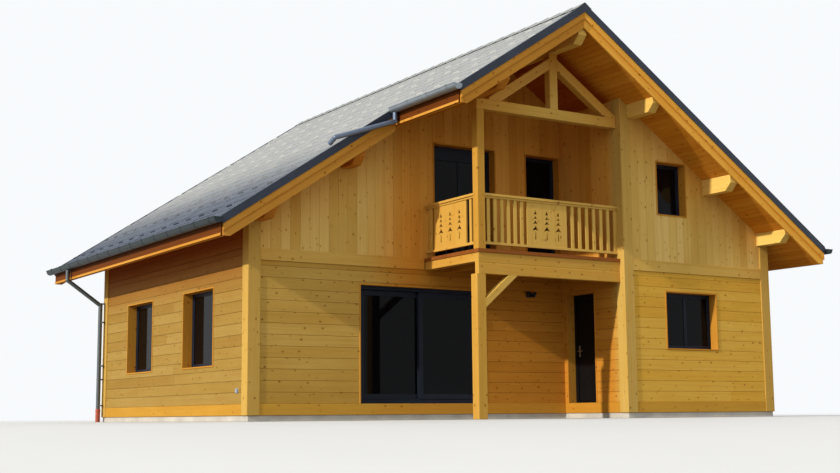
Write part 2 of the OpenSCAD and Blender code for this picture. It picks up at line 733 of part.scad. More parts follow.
module fascia(x, y0, y1) let (x0 = x - fascia_t, level = roof_z(x, nose_drop))
    along_y(y0, y1) polygon([[x0, roof_z(x0, tile_drop)], [x, roof_z(x, tile_drop)],
        [x, level], [x0, level]]);

// Gutters and downpipes

gutter_x = eave_x + gutter_r;
gutter_z = roof_z(eave_x, gutter_drop);
porch_gutter_x = porch_eave_x + gutter_r;
porch_gutter_z = roof_z(porch_eave_x, gutter_drop);
gutter_depth = gutter_r + gutter_rim;
gutter_out = 40;
porch_gutter_end = 5;
// What fills a gutter of outer radius r up to a height h above its half round
module gutter_fill(r, h) {
    difference() {
        circle(r);
        translate([-r - slack, 0]) square([2 * r + 2 * slack, r + slack]);
    }
    translate([-r, -slack]) square([2 * r, h + slack]);
}
module gutter(x, z, y0, y1) translate([x, y1, z - gutter_rim]) rotate([90, 0, 0]) {
    linear_extrude(y1 - y0) difference() {
        gutter_fill(gutter_r, gutter_rim);
        gutter_fill(gutter_r - gutter_t, gutter_rim + slack);
    }
    for (h = [0, y1 - y0 - gutter_t]) translate([0, 0, h]) linear_extrude(gutter_t)
        gutter_fill(gutter_r, gutter_rim);
}
module gutters() color("#9aa2a8") {
    gutter(-gutter_x, gutter_z, left_verge - gutter_out, back_verge + gutter_out);
    gutter(gutter_x, gutter_z, front_verge - gutter_out, back_verge + gutter_out);
    gutter(-porch_gutter_x, porch_gutter_z, front_verge - gutter_out,
        left_verge - porch_gutter_end);
}

// A pipe through a list of points, with a slightly wider elbow at each bend
module pipe(points, r) union() {
    for (i = [0 : len(points) - 2]) let (v = points[i + 1] - points[i],
        l = norm(v), turn = atan2(v[1], v[0]), tilt = acos(v[2] / l))
        translate(points[i]) rotate([0, tilt, turn]) cylinder(r = r, h = l);
    for (i = [1 : len(points) - 2]) translate(points[i]) sphere(r + elbow_bead);
}
pipe_y = half_d - 2 * pipe_r;
pipe_x = half_w + pipe_r + pipe_gap;
neck_z = roof_z(eave_x, nose_drop) - 0.5 * pipe_r;
neck_angle = 35;
foot_bead = 5;
clip_h = 30;
clip_t = 4;
clip_zs = [0.3, 0.85] * upper_floor_z;
// A downpipe with its wider foot and the clips that hold it to the corner post
module downpipe_side() union() {
    pipe([
        [gutter_x, pipe_y, gutter_z - gutter_depth], [gutter_x, pipe_y, neck_z],
        [pipe_x, pipe_y, neck_z - (gutter_x - pipe_x) * tan(neck_angle)],
        [pipe_x, pipe_y, 0]], pipe_r);
    translate([pipe_x, pipe_y, 0]) cylinder(r = pipe_r + foot_bead, h = pipe_foot_h);
    translate([pipe_x, pipe_y, pipe_foot_h - 2 * clip_h])
        cylinder(r = pipe_r + 2 * foot_bead, h = clip_h);
    for (z = clip_zs) translate([pipe_x, pipe_y, z]) {
        cylinder(r = pipe_r + clip_t, h = clip_h);
        translate([-pipe_x + half_w, -clip_h / 2, 0]) cube([pipe_x - half_w, clip_h, clip_h]);
    }
}

// The spout of the balcony roof runs down in front of the verge, less steeply than the
// roof, and where it has come clear of the roof it turns back over the verge to the tiles
spout_y = left_verge - pipe_r - 40;
spout_drop = 160;
spout_z = porch_gutter_z - gutter_depth - spout_drop;
spout_fall = 0.35;
spout_clear = 140;
spout_turn_x = (roof_z(0) + spout_clear - spout_z - spout_fall * porch_gutter_x)
    / (slope - spout_fall);
spout_end_x = spout_turn_x + pipe_r;
spout_end_y = spout_y + 130;
spout_end_over = 75;
module downpipes() color("#9aa2a8") {
    downpipe_side();
    mirror([1, 0, 0]) downpipe_side();
    pipe([[-porch_gutter_x, spout_y, spout_z + spout_drop], [-porch_gutter_x, spout_y, spout_z],
        [-spout_turn_x, spout_y, roof_z(spout_turn_x) + spout_clear],
        [-spout_end_x, spout_end_y, roof_z(spout_end_x) + spout_end_over]], pipe_r);
}

// Porch and balcony

deck_y = frame_y - deck_nose;
beam_back = 40;
module balcony_deck() color("#b98248")
    block([-balcony_left_x - deck_nose, deck_y, deck_z - deck_t],
        [wing_x, -half_d + post_proud, deck_z]);
module balcony_beams() color("#d39a4c") {
    block([-balcony_left_x, frame_y, beam_z - under_beam_h],
        [wing_x, frame_y + frame_t - beam_back, beam_z]);
    block([-balcony_left_x, frame_y, beam_z],
        [wing_x, frame_y + frame_t, deck_z - deck_t]);
    block([-balcony_left_x, frame_y + frame_t, beam_z],
        [-balcony_left_x + frame_t, -half_d + skin, deck_z - deck_t]);
}
module balcony_joists() color("#c08540")
    for (i = [1 : joist_count]) let (bay = (wing_x + balcony_left_x) / (joist_count + 1),
        x = -balcony_left_x + i * bay - joist_w / 2)
        block([x, frame_y + frame_t, beam_z], [x + joist_w, -half_d + skin, deck_z - deck_t]);

post_out = 40;
post_left = -balcony_left_x - post_out;
under_beam_z = beam_z - under_beam_h;
module posts() color("#dda654") {
    block([post_left, frame_y, 0], [post_left + porch_post, frame_y + porch_post, under_beam_z]);
    block([-balcony_left_x, frame_y, deck_z], [-balcony_left_x + frame_t, frame_y + frame_t, tie_z]);
}
brace_x = post_left + porch_post;
module knee_brace() color("#d7a050") along_y(frame_y, frame_y + frame_t - beam_back) polygon([
    [brace_x, under_beam_z - brace_rise],
    [brace_x + brace_run, under_beam_z],
    [brace_x + brace_run - brace_w, under_beam_z],
    [brace_x, under_beam_z - brace_rise * (brace_run - brace_w) / brace_run]]);

// Railing

rail_top = deck_z + rail_h;
rail_z0 = deck_z + bottom_gap;
infill_z0 = rail_z0 + bottom_rail_h;
infill_z1 = rail_top - handrail_h;

// One fir tree with its foot at the origin: four tiers of branches with a little wood
// left between them, and below them a trunk that widens to a round foot. Each tier is
// given as its foot, its height, its width and the rise of its lower edge, the first
// three as shares of the tree's, the last as a share of the tier's height.
tiers = [[0.295, 0.180, 1, 0.22], [0.515, 0.141, 0.75, 0.20], [0.689, 0.114, 0.53, 0.10],
    [0.836, 0.164, 0.47, 0.06]];
tier_steps = 5;
tier_bend = 1.25;
trunk_top = 0.26;
trunk_foot_r = trunk_w * 1.15;
// Half the width of a tier at a share t of its height
function branch(w, t) = w / 2 * pow(1 - t, tier_bend);
module tier(w, h, rise) let (side = [for (i = [0 : tier_steps - 1])
    let (t = i / tier_steps) [branch(w, t), h * t]])
    polygon(concat([[0, h * rise]], side, [[0, h]],
        [for (i = [1 : tier_steps]) let (p = side[tier_steps - i]) [-p[0], p[1]]]));
module fir_tree() {
    for (t = tiers) translate([0, tree_h * t[0]]) tier(tree_w * t[2], tree_h * t[1], t[3]);
    translate([0, trunk_foot_r]) circle(trunk_foot_r);
    polygon([[-trunk_foot_r, trunk_foot_r], [trunk_foot_r, trunk_foot_r],
        [trunk_w / 2, tree_h * trunk_top], [-trunk_w / 2, tree_h * trunk_top]]);
}

// A panel in local x and z with its row of trees cut out, between margins at its sides
tree_margin = 0.07;
tree_rise = 0.45;
module tree_panel(w) difference() {
    translate([0, infill_z0]) square([w, infill_z1 - infill_z0]);
    for (i = [1 : tree_count]) let (pitch = w * (1 - 2 * tree_margin) / tree_count)
        translate([w * tree_margin + pitch * (i - 0.5),
            infill_z0 + (infill_z1 - infill_z0 - tree_h) * tree_rise]) fir_tree();
}

// A stretch of balusters with even gaps from x0 to x1
module balusters(x0, x1, n) let (gap = (x1 - x0 - n * baluster_w) / (n + 1))
    for (i = [0 : n - 1]) translate([x0 + gap + i * (baluster_w + gap), infill_z0])
        square([baluster_w, infill_z1 - infill_z0]);

rail_y = frame_y + frame_t / 2;
rail_x0 = -balcony_left_x + frame_t;
panel_x = (rail_x0 + wing_x) / 2 - panel_left;
module railing_front() color("#cf9448") union() {
    along_y(rail_y - baluster_t / 2, rail_y + baluster_t / 2) {
        translate([panel_x - panel_w / 2, 0]) tree_panel(panel_w);
        balusters(rail_x0, panel_x - panel_w / 2, baluster_count);
        balusters(panel_x + panel_w / 2, wing_x - baluster_w, baluster_count);
        translate([wing_x - baluster_w, infill_z0])
            square([baluster_w, infill_z1 - infill_z0]);
    }
    block([rail_x0, rail_y - bottom_rail_t / 2, rail_z0],
        [wing_x, rail_y + bottom_rail_t / 2, infill_z0]);
    block([rail_x0, rail_y - bottom_rail_t / 2, infill_z1],
        [wing_x, rail_y + bottom_rail_t / 2, rail_top - handrail_cap]);
    block([rail_x0, rail_y - handrail_w / 2, rail_top - handrail_cap],
        [wing_x, rail_y + handrail_w / 2, rail_top]);
}
side_y0 = frame_y + frame_t;
side_y1 = -half_d + post_proud;
side_rail_x = -balcony_left_x + handrail_w / 2;
side_panel_y = (side_y0 + side_y1) / 2;
module railing_side() color("#cf9448") union() {
    along_x(side_rail_x - baluster_t / 2, side_rail_x + baluster_t / 2) {
        translate([side_panel_y - side_panel_w / 2, 0]) tree_panel(side_panel_w);
        balusters(side_y0, side_panel_y - side_panel_w / 2, 1);
        balusters(side_panel_y + side_panel_w / 2, side_y1, 1);
    }
    block([side_rail_x - bottom_rail_t / 2, side_y0, rail_z0],
        [side_rail_x + bottom_rail_t / 2, side_y1, infill_z0]);
    block([side_rail_x - bottom_rail_t / 2, side_y0, infill_z1],
        [side_rail_x + bottom_rail_t / 2, side_y1, rail_top - handrail_cap]);
    block([side_rail_x - handrail_w / 2, side_y0, rail_top - handrail_cap],
        [side_rail_x + handrail_w / 2, side_y1, rail_top]);
}

// Truss

module tie_beam() color("#dba757")
    block([-balcony_left_x, frame_y, tie_z], [wing_x, frame_y + frame_t, tie_top]);
module king_post() color("#dba757")
    block([-king_w / 2, frame_y, tie_top], [king_w / 2, frame_y + frame_t, ridge_purlin_z]);
strut_drop = soffit_drop + strut_below;
strut_in = (roof_z(0, strut_drop + strut_h) - tie_top) / slope;
module strut() along_y(frame_y, frame_y + frame_t) polygon([
    [king_w / 2, roof_z(king_w / 2, strut_drop)], [wing_x, roof_z(wing_x, strut_drop)],
    [wing_x, tie_top], [strut_in, tie_top],
    [king_w / 2, roof_z(king_w / 2, strut_drop + strut_h)]]);
module truss_struts() color("#dba757") {
    strut();
    mirror([1, 0, 0]) strut();
}

// Windows

anthracite = "#2b2e33";
module lower_window_frames() color(anthracite) {
    left_windows() window_frame();
    right_windows() window_frame();
    back_windows() window_frame();
    wing_window() window_frame();
}
module upper_window_frames() color(anthracite) {
    attic_window() window_frame();
    back_attic_windows() window_frame();
    french_window() window_frame(shutter_h, 0);
    balcony_door() window_frame(frame_w, 0);
}
module lower_glass() color("#5c6f78", 0.5) {
    left_windows() window_glass();
    right_windows() window_glass();
    back_windows() window_glass();
    wing_window() window_glass();
    patio() translate([fixed_x, patio_reveal + track_y(0), 0]) leaf_glass();
}
module upper_glass() color("#5c6f78", 0.5) {
    attic_window() window_glass();
    back_attic_windows() window_glass();
    french_window() window_glass(shutter_h);
    balcony_door() window_glass();
}

// Sliding door: the outer leaf is fixed on the right, the inner one slides behind it

// They run on a low rail each, and a strip of the frame parts them
patio_rail_h = 12;
patio_rail_t = 12;
patio_strip = 6;
patio_frame_d = 3 * leaf_gap + 2 * (patio_leaf_t + patio_strip);
leaf_w2 = (patio_w - 2 * frame_w + patio_member) / 2;
leaf_h2 = patio_h - 2 * frame_w - leaf_gap - patio_rail_h;
leaf_z0 = frame_w + patio_rail_h + run_gap;
fixed_x = patio_w - frame_w - leaf_w2;
function track_y(i) = leaf_gap + i * (patio_leaf_t + leaf_gap + patio_strip);
// The frame of a doorway stands on the ground floor, behind its lining
foot_h = threshold_z - ground_floor_z;
module patio_frame() color(anthracite) patio() {
    difference() {
        translate([-lining_t, patio_reveal, -foot_h])
            cube([patio_w + 2 * lining_t, patio_frame_d, patio_h + lining_t + foot_h]);
        translate([frame_w, patio_reveal - slack, frame_w])
            cube([patio_w - 2 * frame_w, patio_frame_d + 2 * slack, patio_h - 2 * frame_w]);
    }
    for (i = [0, 1]) translate([frame_w,
        patio_reveal + track_y(i) + (patio_leaf_t - patio_rail_t) / 2, frame_w])
        cube([patio_w - 2 * frame_w, patio_rail_t, patio_rail_h]);
}
module leaf_ring() translate([0, 0, leaf_z0])
    ring(leaf_w2, leaf_h2 - run_gap, patio_member, patio_leaf_t);
module leaf_glass() translate([patio_member, (patio_leaf_t - glass_t) / 2, leaf_z0 + patio_member])
    cube([leaf_w2 - 2 * patio_member, glass_t, leaf_h2 - run_gap - 2 * patio_member]);
module patio_fixed_leaf() color(anthracite)
    patio() translate([fixed_x, patio_reveal + track_y(0), 0]) leaf_ring();
module patio_sliding_leaf() color(anthracite)
    patio() translate([frame_w + leaf_gap, patio_reveal + track_y(1), 0]) leaf_ring();
module patio_sliding_glass() color("#5c6f78", 0.5)
    patio() translate([frame_w + leaf_gap, patio_reveal + track_y(1), 0]) leaf_glass();

// Entrance door: the leaf swings inwards on knuckles at the side away from the main block

door_frame_w = 60;
door_stop = 20;
leaf_y = reveal + door_stop;
hinge_x = door_w - door_frame_w - leaf_gap / 2;
hinge_clear = 1;
hinge_y = leaf_y + door_t + hinge_clear + knuckle_r;
hinge_zs = [0.12, 0.47, 0.82] * door_h;
hinge_plate_w = 38;
hinge_plate_t = 5;
module entrance_frame() color(anthracite) entrance() {
    difference() {
        translate([-lining_t, reveal, -foot_h])
            cube([$w + 2 * lining_t, leaf_y + door_t - reveal, $h + lining_t + foot_h]);
        translate([door_frame_w, leaf_y - leaf_gap, door_frame_w / 2])
            cube([$w - 2 * door_frame_w, door_t + leaf_gap + slack, $h - 1.5 * door_frame_w]);
        translate([door_frame_w + door_stop, reveal - slack, door_frame_w / 2])
            cube([$w - 2 * (door_frame_w + door_stop), $h, $h - 1.5 * door_frame_w - door_stop]);
    }
    for (z = hinge_zs) hinge_part(z, 0);
}
// One knuckle with its plate, which lies on the frame's or the leaf's inner face
module hinge_part(z, side) translate([hinge_x, hinge_y, z]) {
    cylinder(r = knuckle_r, h = knuckle_h);
    translate([side, -knuckle_r - hinge_clear, 0])
        cube([hinge_plate_w, hinge_plate_t, knuckle_h]);
}
module entrance_leaf() color("#25282d") entrance() {
    translate([door_frame_w + leaf_gap, leaf_y, door_frame_w / 2 + leaf_gap])
        cube([door_w - 2 * (door_frame_w + leaf_gap), door_t,
            door_h - 1.5 * door_frame_w - 2 * leaf_gap]);
    for (z = hinge_zs) hinge_part(z + knuckle_h + run_gap, -hinge_plate_w);
}
handle_z = 1050 - threshold_h;
handle_x = door_frame_w + leaf_gap + 60;
handle_plate = [40, 8, 220];
handle_neck = 55;
handle_r = 10;
handle_l = 120;
module entrance_handle() color("#c9ccd0") entrance() for (s = [-1, 1])
    translate([handle_x, leaf_y + door_t / 2 + s * door_t / 2, handle_z]) {
        translate([-handle_plate[0] / 2, min(0, s * handle_plate[1]), -handle_plate[2] / 2])
            cube(handle_plate);
        rotate([-s * 90, 0, 0]) cylinder(r = handle_r, h = handle_neck);
        translate([0, s * (handle_neck - handle_r / 2), 0]) rotate([0, 90, 0])
            cylinder(r = handle_r, h = handle_l);
    }

// Twin lamp on the porch wall: a round base, an arm, a bar and two shades
lamp_x = wing_x - lamp_in;
lamp_z = ground_floor_z + lamp_h;
lamp_base_r = 50;
lamp_base_t = 25;
lamp_bar = 16;
shade_tilt = 20;
module wall_lamp() color("#1d1f22") translate([lamp_x, -half_d + post_proud, lamp_z]) {
    translate([0, board_t, 0]) rotate([90, 0, 0])
        cylinder(r = lamp_base_r, h = board_t + lamp_base_t);
    rotate([90, 0, 0]) cylinder(r = lamp_bar / 2, h = shade_y);
    translate([-shade_x, -shade_y, -lamp_bar / 2]) cube([2 * shade_x, lamp_bar, lamp_bar]);
    for (s = [-1, 1]) translate([s * shade_x, -shade_y, 0]) rotate([shade_tilt, s * shade_tilt, 0])
        cylinder(r = shade_r, h = shade_h, center = true);
}

ground_floor();
sill_boards();
upper_floor();
left_wall();
right_wall();
back_wall();
front_wall();
patio_lintel();
porch_wall();
wing_side_wall();
door_lintel();
wing_front_wall();
front_gable();
wing_gable();
wing_upper_side();
back_gable();
belly_bands();
corner_posts();
opening_linings();
roof_left();
roof_right();
roof_porch();
tiles_left();
tiles_right();
tiles_porch();
ridge_cap();
verge_trim_left();
verge_trim_right();
barge_left();
barge_right();
fascias();
purlins_left();
purlins_right();
ridge_purlin();
gutters();
downpipes();
balcony_deck();
balcony_beams();
balcony_joists();
posts();
knee_brace();
railing_front();
railing_side();
tie_beam();
king_post();
truss_struts();
lower_window_frames();
upper_window_frames();
lower_glass();
upper_glass();
patio_frame();
patio_fixed_leaf();
patio_sliding_leaf();
patio_sliding_glass();
entrance_frame();
entrance_leaf();
entrance_handle();
wall_lamp();
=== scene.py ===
# %% [markdown]
# A timber chalet from its frame to its finish. The frame brings every post, wall and
# window at its real size. What is added here is what a joiner and a roofer add last:
# boards, tiles, metalwork, and the look of planed and oiled wood.

# %% Load the frame
import json
import math
import random

import bmesh
import bpy
from mathutils import Matrix, Vector

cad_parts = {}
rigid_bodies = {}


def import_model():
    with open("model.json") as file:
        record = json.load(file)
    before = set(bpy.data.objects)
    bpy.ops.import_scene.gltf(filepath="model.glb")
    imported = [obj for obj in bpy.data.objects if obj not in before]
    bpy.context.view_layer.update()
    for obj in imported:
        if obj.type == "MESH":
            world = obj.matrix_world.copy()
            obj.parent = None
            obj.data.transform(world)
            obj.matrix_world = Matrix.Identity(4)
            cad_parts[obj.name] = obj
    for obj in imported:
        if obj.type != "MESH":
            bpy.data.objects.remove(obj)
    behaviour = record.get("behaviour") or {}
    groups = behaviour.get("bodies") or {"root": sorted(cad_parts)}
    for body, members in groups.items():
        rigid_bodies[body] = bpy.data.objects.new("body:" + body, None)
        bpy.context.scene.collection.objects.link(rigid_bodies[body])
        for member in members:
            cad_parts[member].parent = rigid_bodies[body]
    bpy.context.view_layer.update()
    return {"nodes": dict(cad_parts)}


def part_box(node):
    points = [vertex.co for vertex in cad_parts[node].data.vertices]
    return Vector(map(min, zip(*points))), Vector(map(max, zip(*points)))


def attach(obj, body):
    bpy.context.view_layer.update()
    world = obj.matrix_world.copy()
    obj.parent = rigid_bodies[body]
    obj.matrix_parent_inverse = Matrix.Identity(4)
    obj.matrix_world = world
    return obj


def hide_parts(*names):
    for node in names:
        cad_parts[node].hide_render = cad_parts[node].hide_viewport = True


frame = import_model()
HOUSE = "house"

# %% [markdown]
# Most meshes below are drawn flat at the origin and then put in place by a matrix, whose
# columns say which way the drawing's X, Y and Z go. An object shows once it is linked.

# %% Directions and places
EAST, WEST, UP = Vector((1, 0, 0)), Vector((-1, 0, 0)), Vector((0, 0, 1))
NORTH, SOUTH = Vector((0, 1, 0)), Vector((0, -1, 0))


def show(name, data):
    """A new object, linked to the scene."""
    made = bpy.data.objects.new(name, data)
    bpy.context.scene.collection.objects.link(made)
    return made


def placed(first, second, third, origin):
    """The matrix that sends X, Y and Z along three directions from a place."""
    return Matrix.Translation(origin) @ Matrix((first, second, third)).transposed().to_4x4()


def box_round(points):
    """The lowest and the highest corner of the box round some points."""
    points = list(points)
    return [Vector([pick(p[i] for p in points) for i in range(3)]) for pick in (min, max)]


print("helpers for places ready")

# %% [markdown]
# The camera stands where the picture was taken, low over the ground and to the left of
# the gable. It could be moved by eye until the house looks right, but that never quite
# ends. So its place was worked out from the straight edges of the house, and posts and
# eaves fall where they do in the picture.

# %% Camera
EYE = Vector((-14.918, -23.984, 0.059))
YAW, PITCH, ROLL = 0.5709, 0.1385, -0.0087
LENS, FAR_CLIP = 55.35, 400

forward = Vector((math.sin(YAW) * math.cos(PITCH), math.cos(YAW) * math.cos(PITCH), math.sin(PITCH)))
level_right = Vector((math.cos(YAW), -math.sin(YAW), 0))
level_up = level_right.cross(forward)
right = math.cos(ROLL) * level_right + math.sin(ROLL) * level_up
up = math.cos(ROLL) * level_up - math.sin(ROLL) * level_right
camera = show("camera", bpy.data.cameras.new("camera"))
camera.data.lens, camera.data.clip_end = LENS, FAR_CLIP
camera.matrix_world = placed(right, up, -forward, EYE)
bpy.context.scene.camera = camera
print("camera at", [round(v, 2) for v in EYE])

# %% [markdown]
# Some sizes are read from the frame, so that what is added here still fits if the
# house changes: where the boards lie, where the soffit runs, and how steep the roof is.
# Typed in a second time, they could drift away from the frame.

# %% Sizes read from the frame
BOARD_T, POST_PROUD, SOFFIT_BOARD, WALL_T = 0.022, 0.020, 0.019, 0.3
SOFFIT_DROP, TILE_DROP, VERGE_DEEP = 0.40, 0.075, 0.15


def low(node):
    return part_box(node)[0]


def high(node):
    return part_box(node)[1]


half_w, wing_y = high("corner_posts").x, low("corner_posts").y
front_y, back_y = high("front_wall").y - WALL_T, high("back_wall").y + BOARD_T + POST_PROUD
post_w = low("back_wall").x + half_w
siding_foot = high("sill_boards").z
band_low, band_top = low("belly_bands").z, high("belly_bands").z
deck_low, deck_top = low("balcony_deck").z, high("balcony_deck").z
ridge_z = high("verge_trim_right").z
slope = (ridge_z - (low("verge_trim_right").z + VERGE_DEEP)) / high("verge_trim_right").x
pitch_angle = math.atan(slope)
plumb = 1 / math.cos(pitch_angle)


def roof_z(x, drop=0.0):
    """Height of the roof surface above a point x, lowered by a plumb drop."""
    return ridge_z - drop - slope * abs(x)


def soffit(x):
    return roof_z(x, SOFFIT_DROP)


print("ridge", round(ridge_z, 3), "pitch", round(math.degrees(pitch_angle), 2))

# %% [markdown]
# Shader maths reads best as sums. The class `Val` wraps a socket of a shader tree, so
# that a plus or a times between two of them adds the Math node that does it. Any other
# kind of node comes from one function, for the shaders and later for Geometry Nodes too.

# %% Sums of sockets
def sign(operation, turned=False):
    """A method that adds one Math node. Turned puts the other value first, as in 1 - mask."""
    def method(self, other):
        pair = {0: other, 1: self} if turned else {0: self, 1: other}
        return self.shader.node("Math", {"operation": operation}, pair)
    return method


class Val:
    """A socket that takes part in Python sums."""

    __add__, __radd__ = sign("ADD"), sign("ADD", True)
    __sub__, __rsub__ = sign("SUBTRACT"), sign("SUBTRACT", True)
    __mul__, __rmul__ = sign("MULTIPLY"), sign("MULTIPLY", True)
    __gt__, __lt__ = sign("GREATER_THAN"), sign("LESS_THAN")

    def __init__(self, shader, socket):
        self.shader, self.socket = shader, socket


def set_stops(ramp, stops):
    while len(ramp.elements) > 1:
        ramp.elements.remove(ramp.elements[-1])
    ramp.elements[0].position, ramp.elements[0].color = stops[0]
    for position, color in stops[1:]:
        ramp.elements.new(position).color = color


def add_node(tree, kind, settings, inputs):
    """A new node: its settings first, then the values or links of its sockets."""
    made = tree.nodes.new(kind)
    for key, value in (settings or {}).items():
        if key == "stops":
            set_stops(made.color_ramp, value)
        else:
            setattr(made, key, value)
    for key, value in (inputs or {}).items():
        value = value.socket if isinstance(value, Val) else value
        if isinstance(value, bpy.types.NodeSocket):
            tree.links.new(value, made.inputs[key])
        else:
            made.inputs[key].default_value = value
    return made


print("sums ready")

# %% A shader tree
def paint(color):
    """A colour as it looks, 0 to 255, turned into light. Links and light stay as they are."""
    if isinstance(color, Val) or len(color) == 4:
        return color
    return tuple((v / 255 / 12.92 if v <= 10 else ((v / 255 + 0.055) / 1.055) ** 2.4)
                 for v in color) + (1.0,)


class Shader:
    """The tree of one material, or of the world."""

    def __init__(self, name, world=None):
        self.owner = world or bpy.data.materials.new(name)
        self.owner.use_nodes = True
        self.tree = self.owner.node_tree
        self.tree.nodes.clear()
        self.output = self.tree.nodes.new("ShaderNodeOutput" + ("World" if world else "Material"))

    def node(self, kind, settings=None, inputs=None, out=0):
        return Val(self, add_node(self.tree, "ShaderNode" + kind, settings, inputs).outputs[out])

    def place(self):
        """Object coordinates, which are metres on the house."""
        return self.node("TexCoord", out=3)

    def written(self, name, out):
        """An attribute: out 1 is a vector, out 2 one number."""
        return self.node("Attribute", {"attribute_name": name}, out=out)

    def parts(self, vector):
        return [self.node("SeparateXYZ", {}, {"Vector": vector}, out=i) for i in range(3)]

    def mix(self, share, first, second, blend="MIX"):
        """A mix of two colours, each a link or a colour."""
        return self.node("Mix", {"data_type": "RGBA", "blend_type": blend},
                         {0: share, 6: paint(first), 7: paint(second)}, out=2)

    def between(self, value, start, end, smooth=True):
        """0 below start, 1 above end."""
        kind = "SMOOTHSTEP" if smooth else "LINEAR"
        return self.node("MapRange", {"interpolation_type": kind},
                         {"Value": value, "From Min": start, "From Max": end})

    def noise(self, vector, scale, detail=3.0, rough=0.5, distortion=0.0):
        return self.node("TexNoise", {}, {"Vector": vector, "Scale": scale, "Detail": detail,
                                          "Roughness": rough, "Distortion": distortion})

    def stretch(self, vector, scale):
        return self.node("VectorMath", {"operation": "MULTIPLY"}, {0: vector, 1: scale})

    def bump(self, height, strength, distance):
        return self.node("Bump", {}, {"Height": height, "Strength": strength, "Distance": distance})

    def end(self, shader):
        self.tree.links.new(shader.socket, self.output.inputs["Surface"])
        return self.owner

    def finish(self, sockets):
        return self.end(self.node("BsdfPrincipled", {}, sockets))


print("shader class ready")

# %% [markdown]
# Under the roof and in the porch the wood is painted a deep amber. This is painted shade,
# with the orange of light bounced between wooden walls, and in part the real amber of
# spruce that sun and rain do not bleach. Vertex colours could mark those places, but a long
# board has corners only at its ends. So the shader works out how deep a place lies in that
# painted shade, from its depth below the soffit and from whether it lies in the recess.

# %% How deep a place lies in the painted shade
SHADE_NEAR, SHADE_FAR = 0.05, 1.5
RECESS_LEFT, RECESS_RIGHT = (-3.3, -2.0), (1.53, 1.60)
RECESS_BACK, RECESS_FRONT = (0.5, 0.0), (-5.10, -5.42)


def shade_share(shade, eave_share):
    """How much painted shade a place gets: 1 in the recess of the porch, eave_share close under the soffit,
    0 on open walls.
    """
    x, y, z = shade.parts(shade.place())
    aside = shade.node("Math", {"operation": "ABSOLUTE"}, {0: x})
    depth = (ridge_z - SOFFIT_DROP) - aside * slope - z
    under_roof = shade.between(depth, SHADE_FAR, SHADE_NEAR) * eave_share
    recess = (shade.between(x, *RECESS_LEFT) * (1 - shade.between(x, *RECESS_RIGHT))
              * shade.between(y, *RECESS_BACK) * (1 - shade.between(y, *RECESS_FRONT)))
    return shade.node("Math", {"operation": "MAXIMUM"}, {0: under_roof, 1: recess})


print("painted_shade reaches", SHADE_FAR, "m below the soffit")

# %% [markdown]
# Planed spruce shows three things: fine grain along the board, broad bands of early and
# late wood, and dark round knots. All of them follow the board, so each wooden piece
# carries an attribute `grain`, a place measured along, across and into its own board,
# and an attribute `tone`, one random number for each board. Two neighbours then never
# share their grain. A picture of wood could be laid on instead, but it would repeat from
# board to board, and noise never does. One function builds every wood of the house from
# three tones and the colour of its knots, which are cells of a Voronoi pattern.

# %% The wood shader
FIBRE, SWAY, RINGS = (3.0, 170.0, 170.0), (0.8, 5.0, 5.0), (0.45, 26.0, 26.0)
KNOT_CELL, KNOT_SMALL, KNOT_LARGE = 0.19, 0.005, 0.015
# Tints of the painted shade: under the eaves, deeper on the long side walls, and in the recess of the porch.
AMBER, DEEP_AMBER = (1.0, 0.62, 0.27, 1.0), (0.84, 0.26, 0.03, 1.0)
RECESS_AMBER = (0.50, 0.19, 0.05, 1.0)


def wood(name, pale, warm, deep, knot, knots=0.85, spread=0.34, amber=0.85, eave_share=0.6, tint=AMBER):
    """Three tones and the knots' colour, the share of knots, and how boards and painted shade vary it."""
    shade = Shader(name)
    grain, tone = shade.written("grain", 1), shade.written("tone", 2)
    fibre = shade.noise(shade.stretch(grain, FIBRE), 1.0, 4.0, 0.6)
    sway = shade.noise(shade.stretch(grain, SWAY), 1.0, 2.0)
    rings = shade.noise(shade.stretch(grain, RINGS), 1.0, 2.0, 0.45, 1.2)
    cloud = shade.noise(grain, 2.2, 3.0, 0.55)
    along, across, into = shade.parts(grain)
    flat = shade.node("CombineXYZ", {}, {"X": along * 0.70, "Y": across + into})
    cells = {"feature": "F1", "voronoi_dimensions": "2D"}, {"Vector": flat, "Scale": 1 / KNOT_CELL}
    far, drawn = [shade.node("TexVoronoi", *cells, out=i) for i in (0, 1)]
    chance, size = [shade.node("SeparateColor", {}, {"Color": drawn}, out=i) for i in (0, 1)]
    there = chance < knots
    radius = (size * size * (KNOT_LARGE - KNOT_SMALL) + KNOT_SMALL) * (1 / KNOT_CELL)
    core = there * (1 - shade.between(far - radius, -0.014, 0.012))
    halo = there * (1 - shade.between(far - radius, 0.0, 0.12))
    stops = [(i / 2, paint(color)) for i, color in enumerate((pale, warm, deep))]
    base = shade.node("ValToRGB", {"stops": stops},
                      {"Fac": tone * spread + sway * 0.26 + cloud * 0.22 + (0.26 - spread / 2)})
    lined = shade.mix(shade.between(rings, 0.44, 0.68) * 0.24, base, deep)
    fine = shade.mix(shade.between(fibre, 0.40, 0.78) * 0.12, lined, knot)
    color = shade.mix(core * 0.74, shade.mix(halo * 0.40, fine, deep), knot)
    # Painted shade: the colour is tinted amber under the eaves and in the recess.
    if amber:
        warmed = shade.mix(1.0, color, tint, "MULTIPLY")
        color = shade.mix(shade_share(shade, eave_share) * amber, color, warmed)
    return shade.finish({
        "Base Color": color, "Roughness": fibre * 0.12 + 0.56 + cloud * 0.06, "Specular IOR Level": 0.05,
        "Normal": shade.bump(fibre * 0.5 + rings * 0.4 - core * 0.5, 0.30, 0.0012)})


already = len(bpy.data.materials)
print("wood shader ready, knots up to", KNOT_LARGE * 2, "m wide")
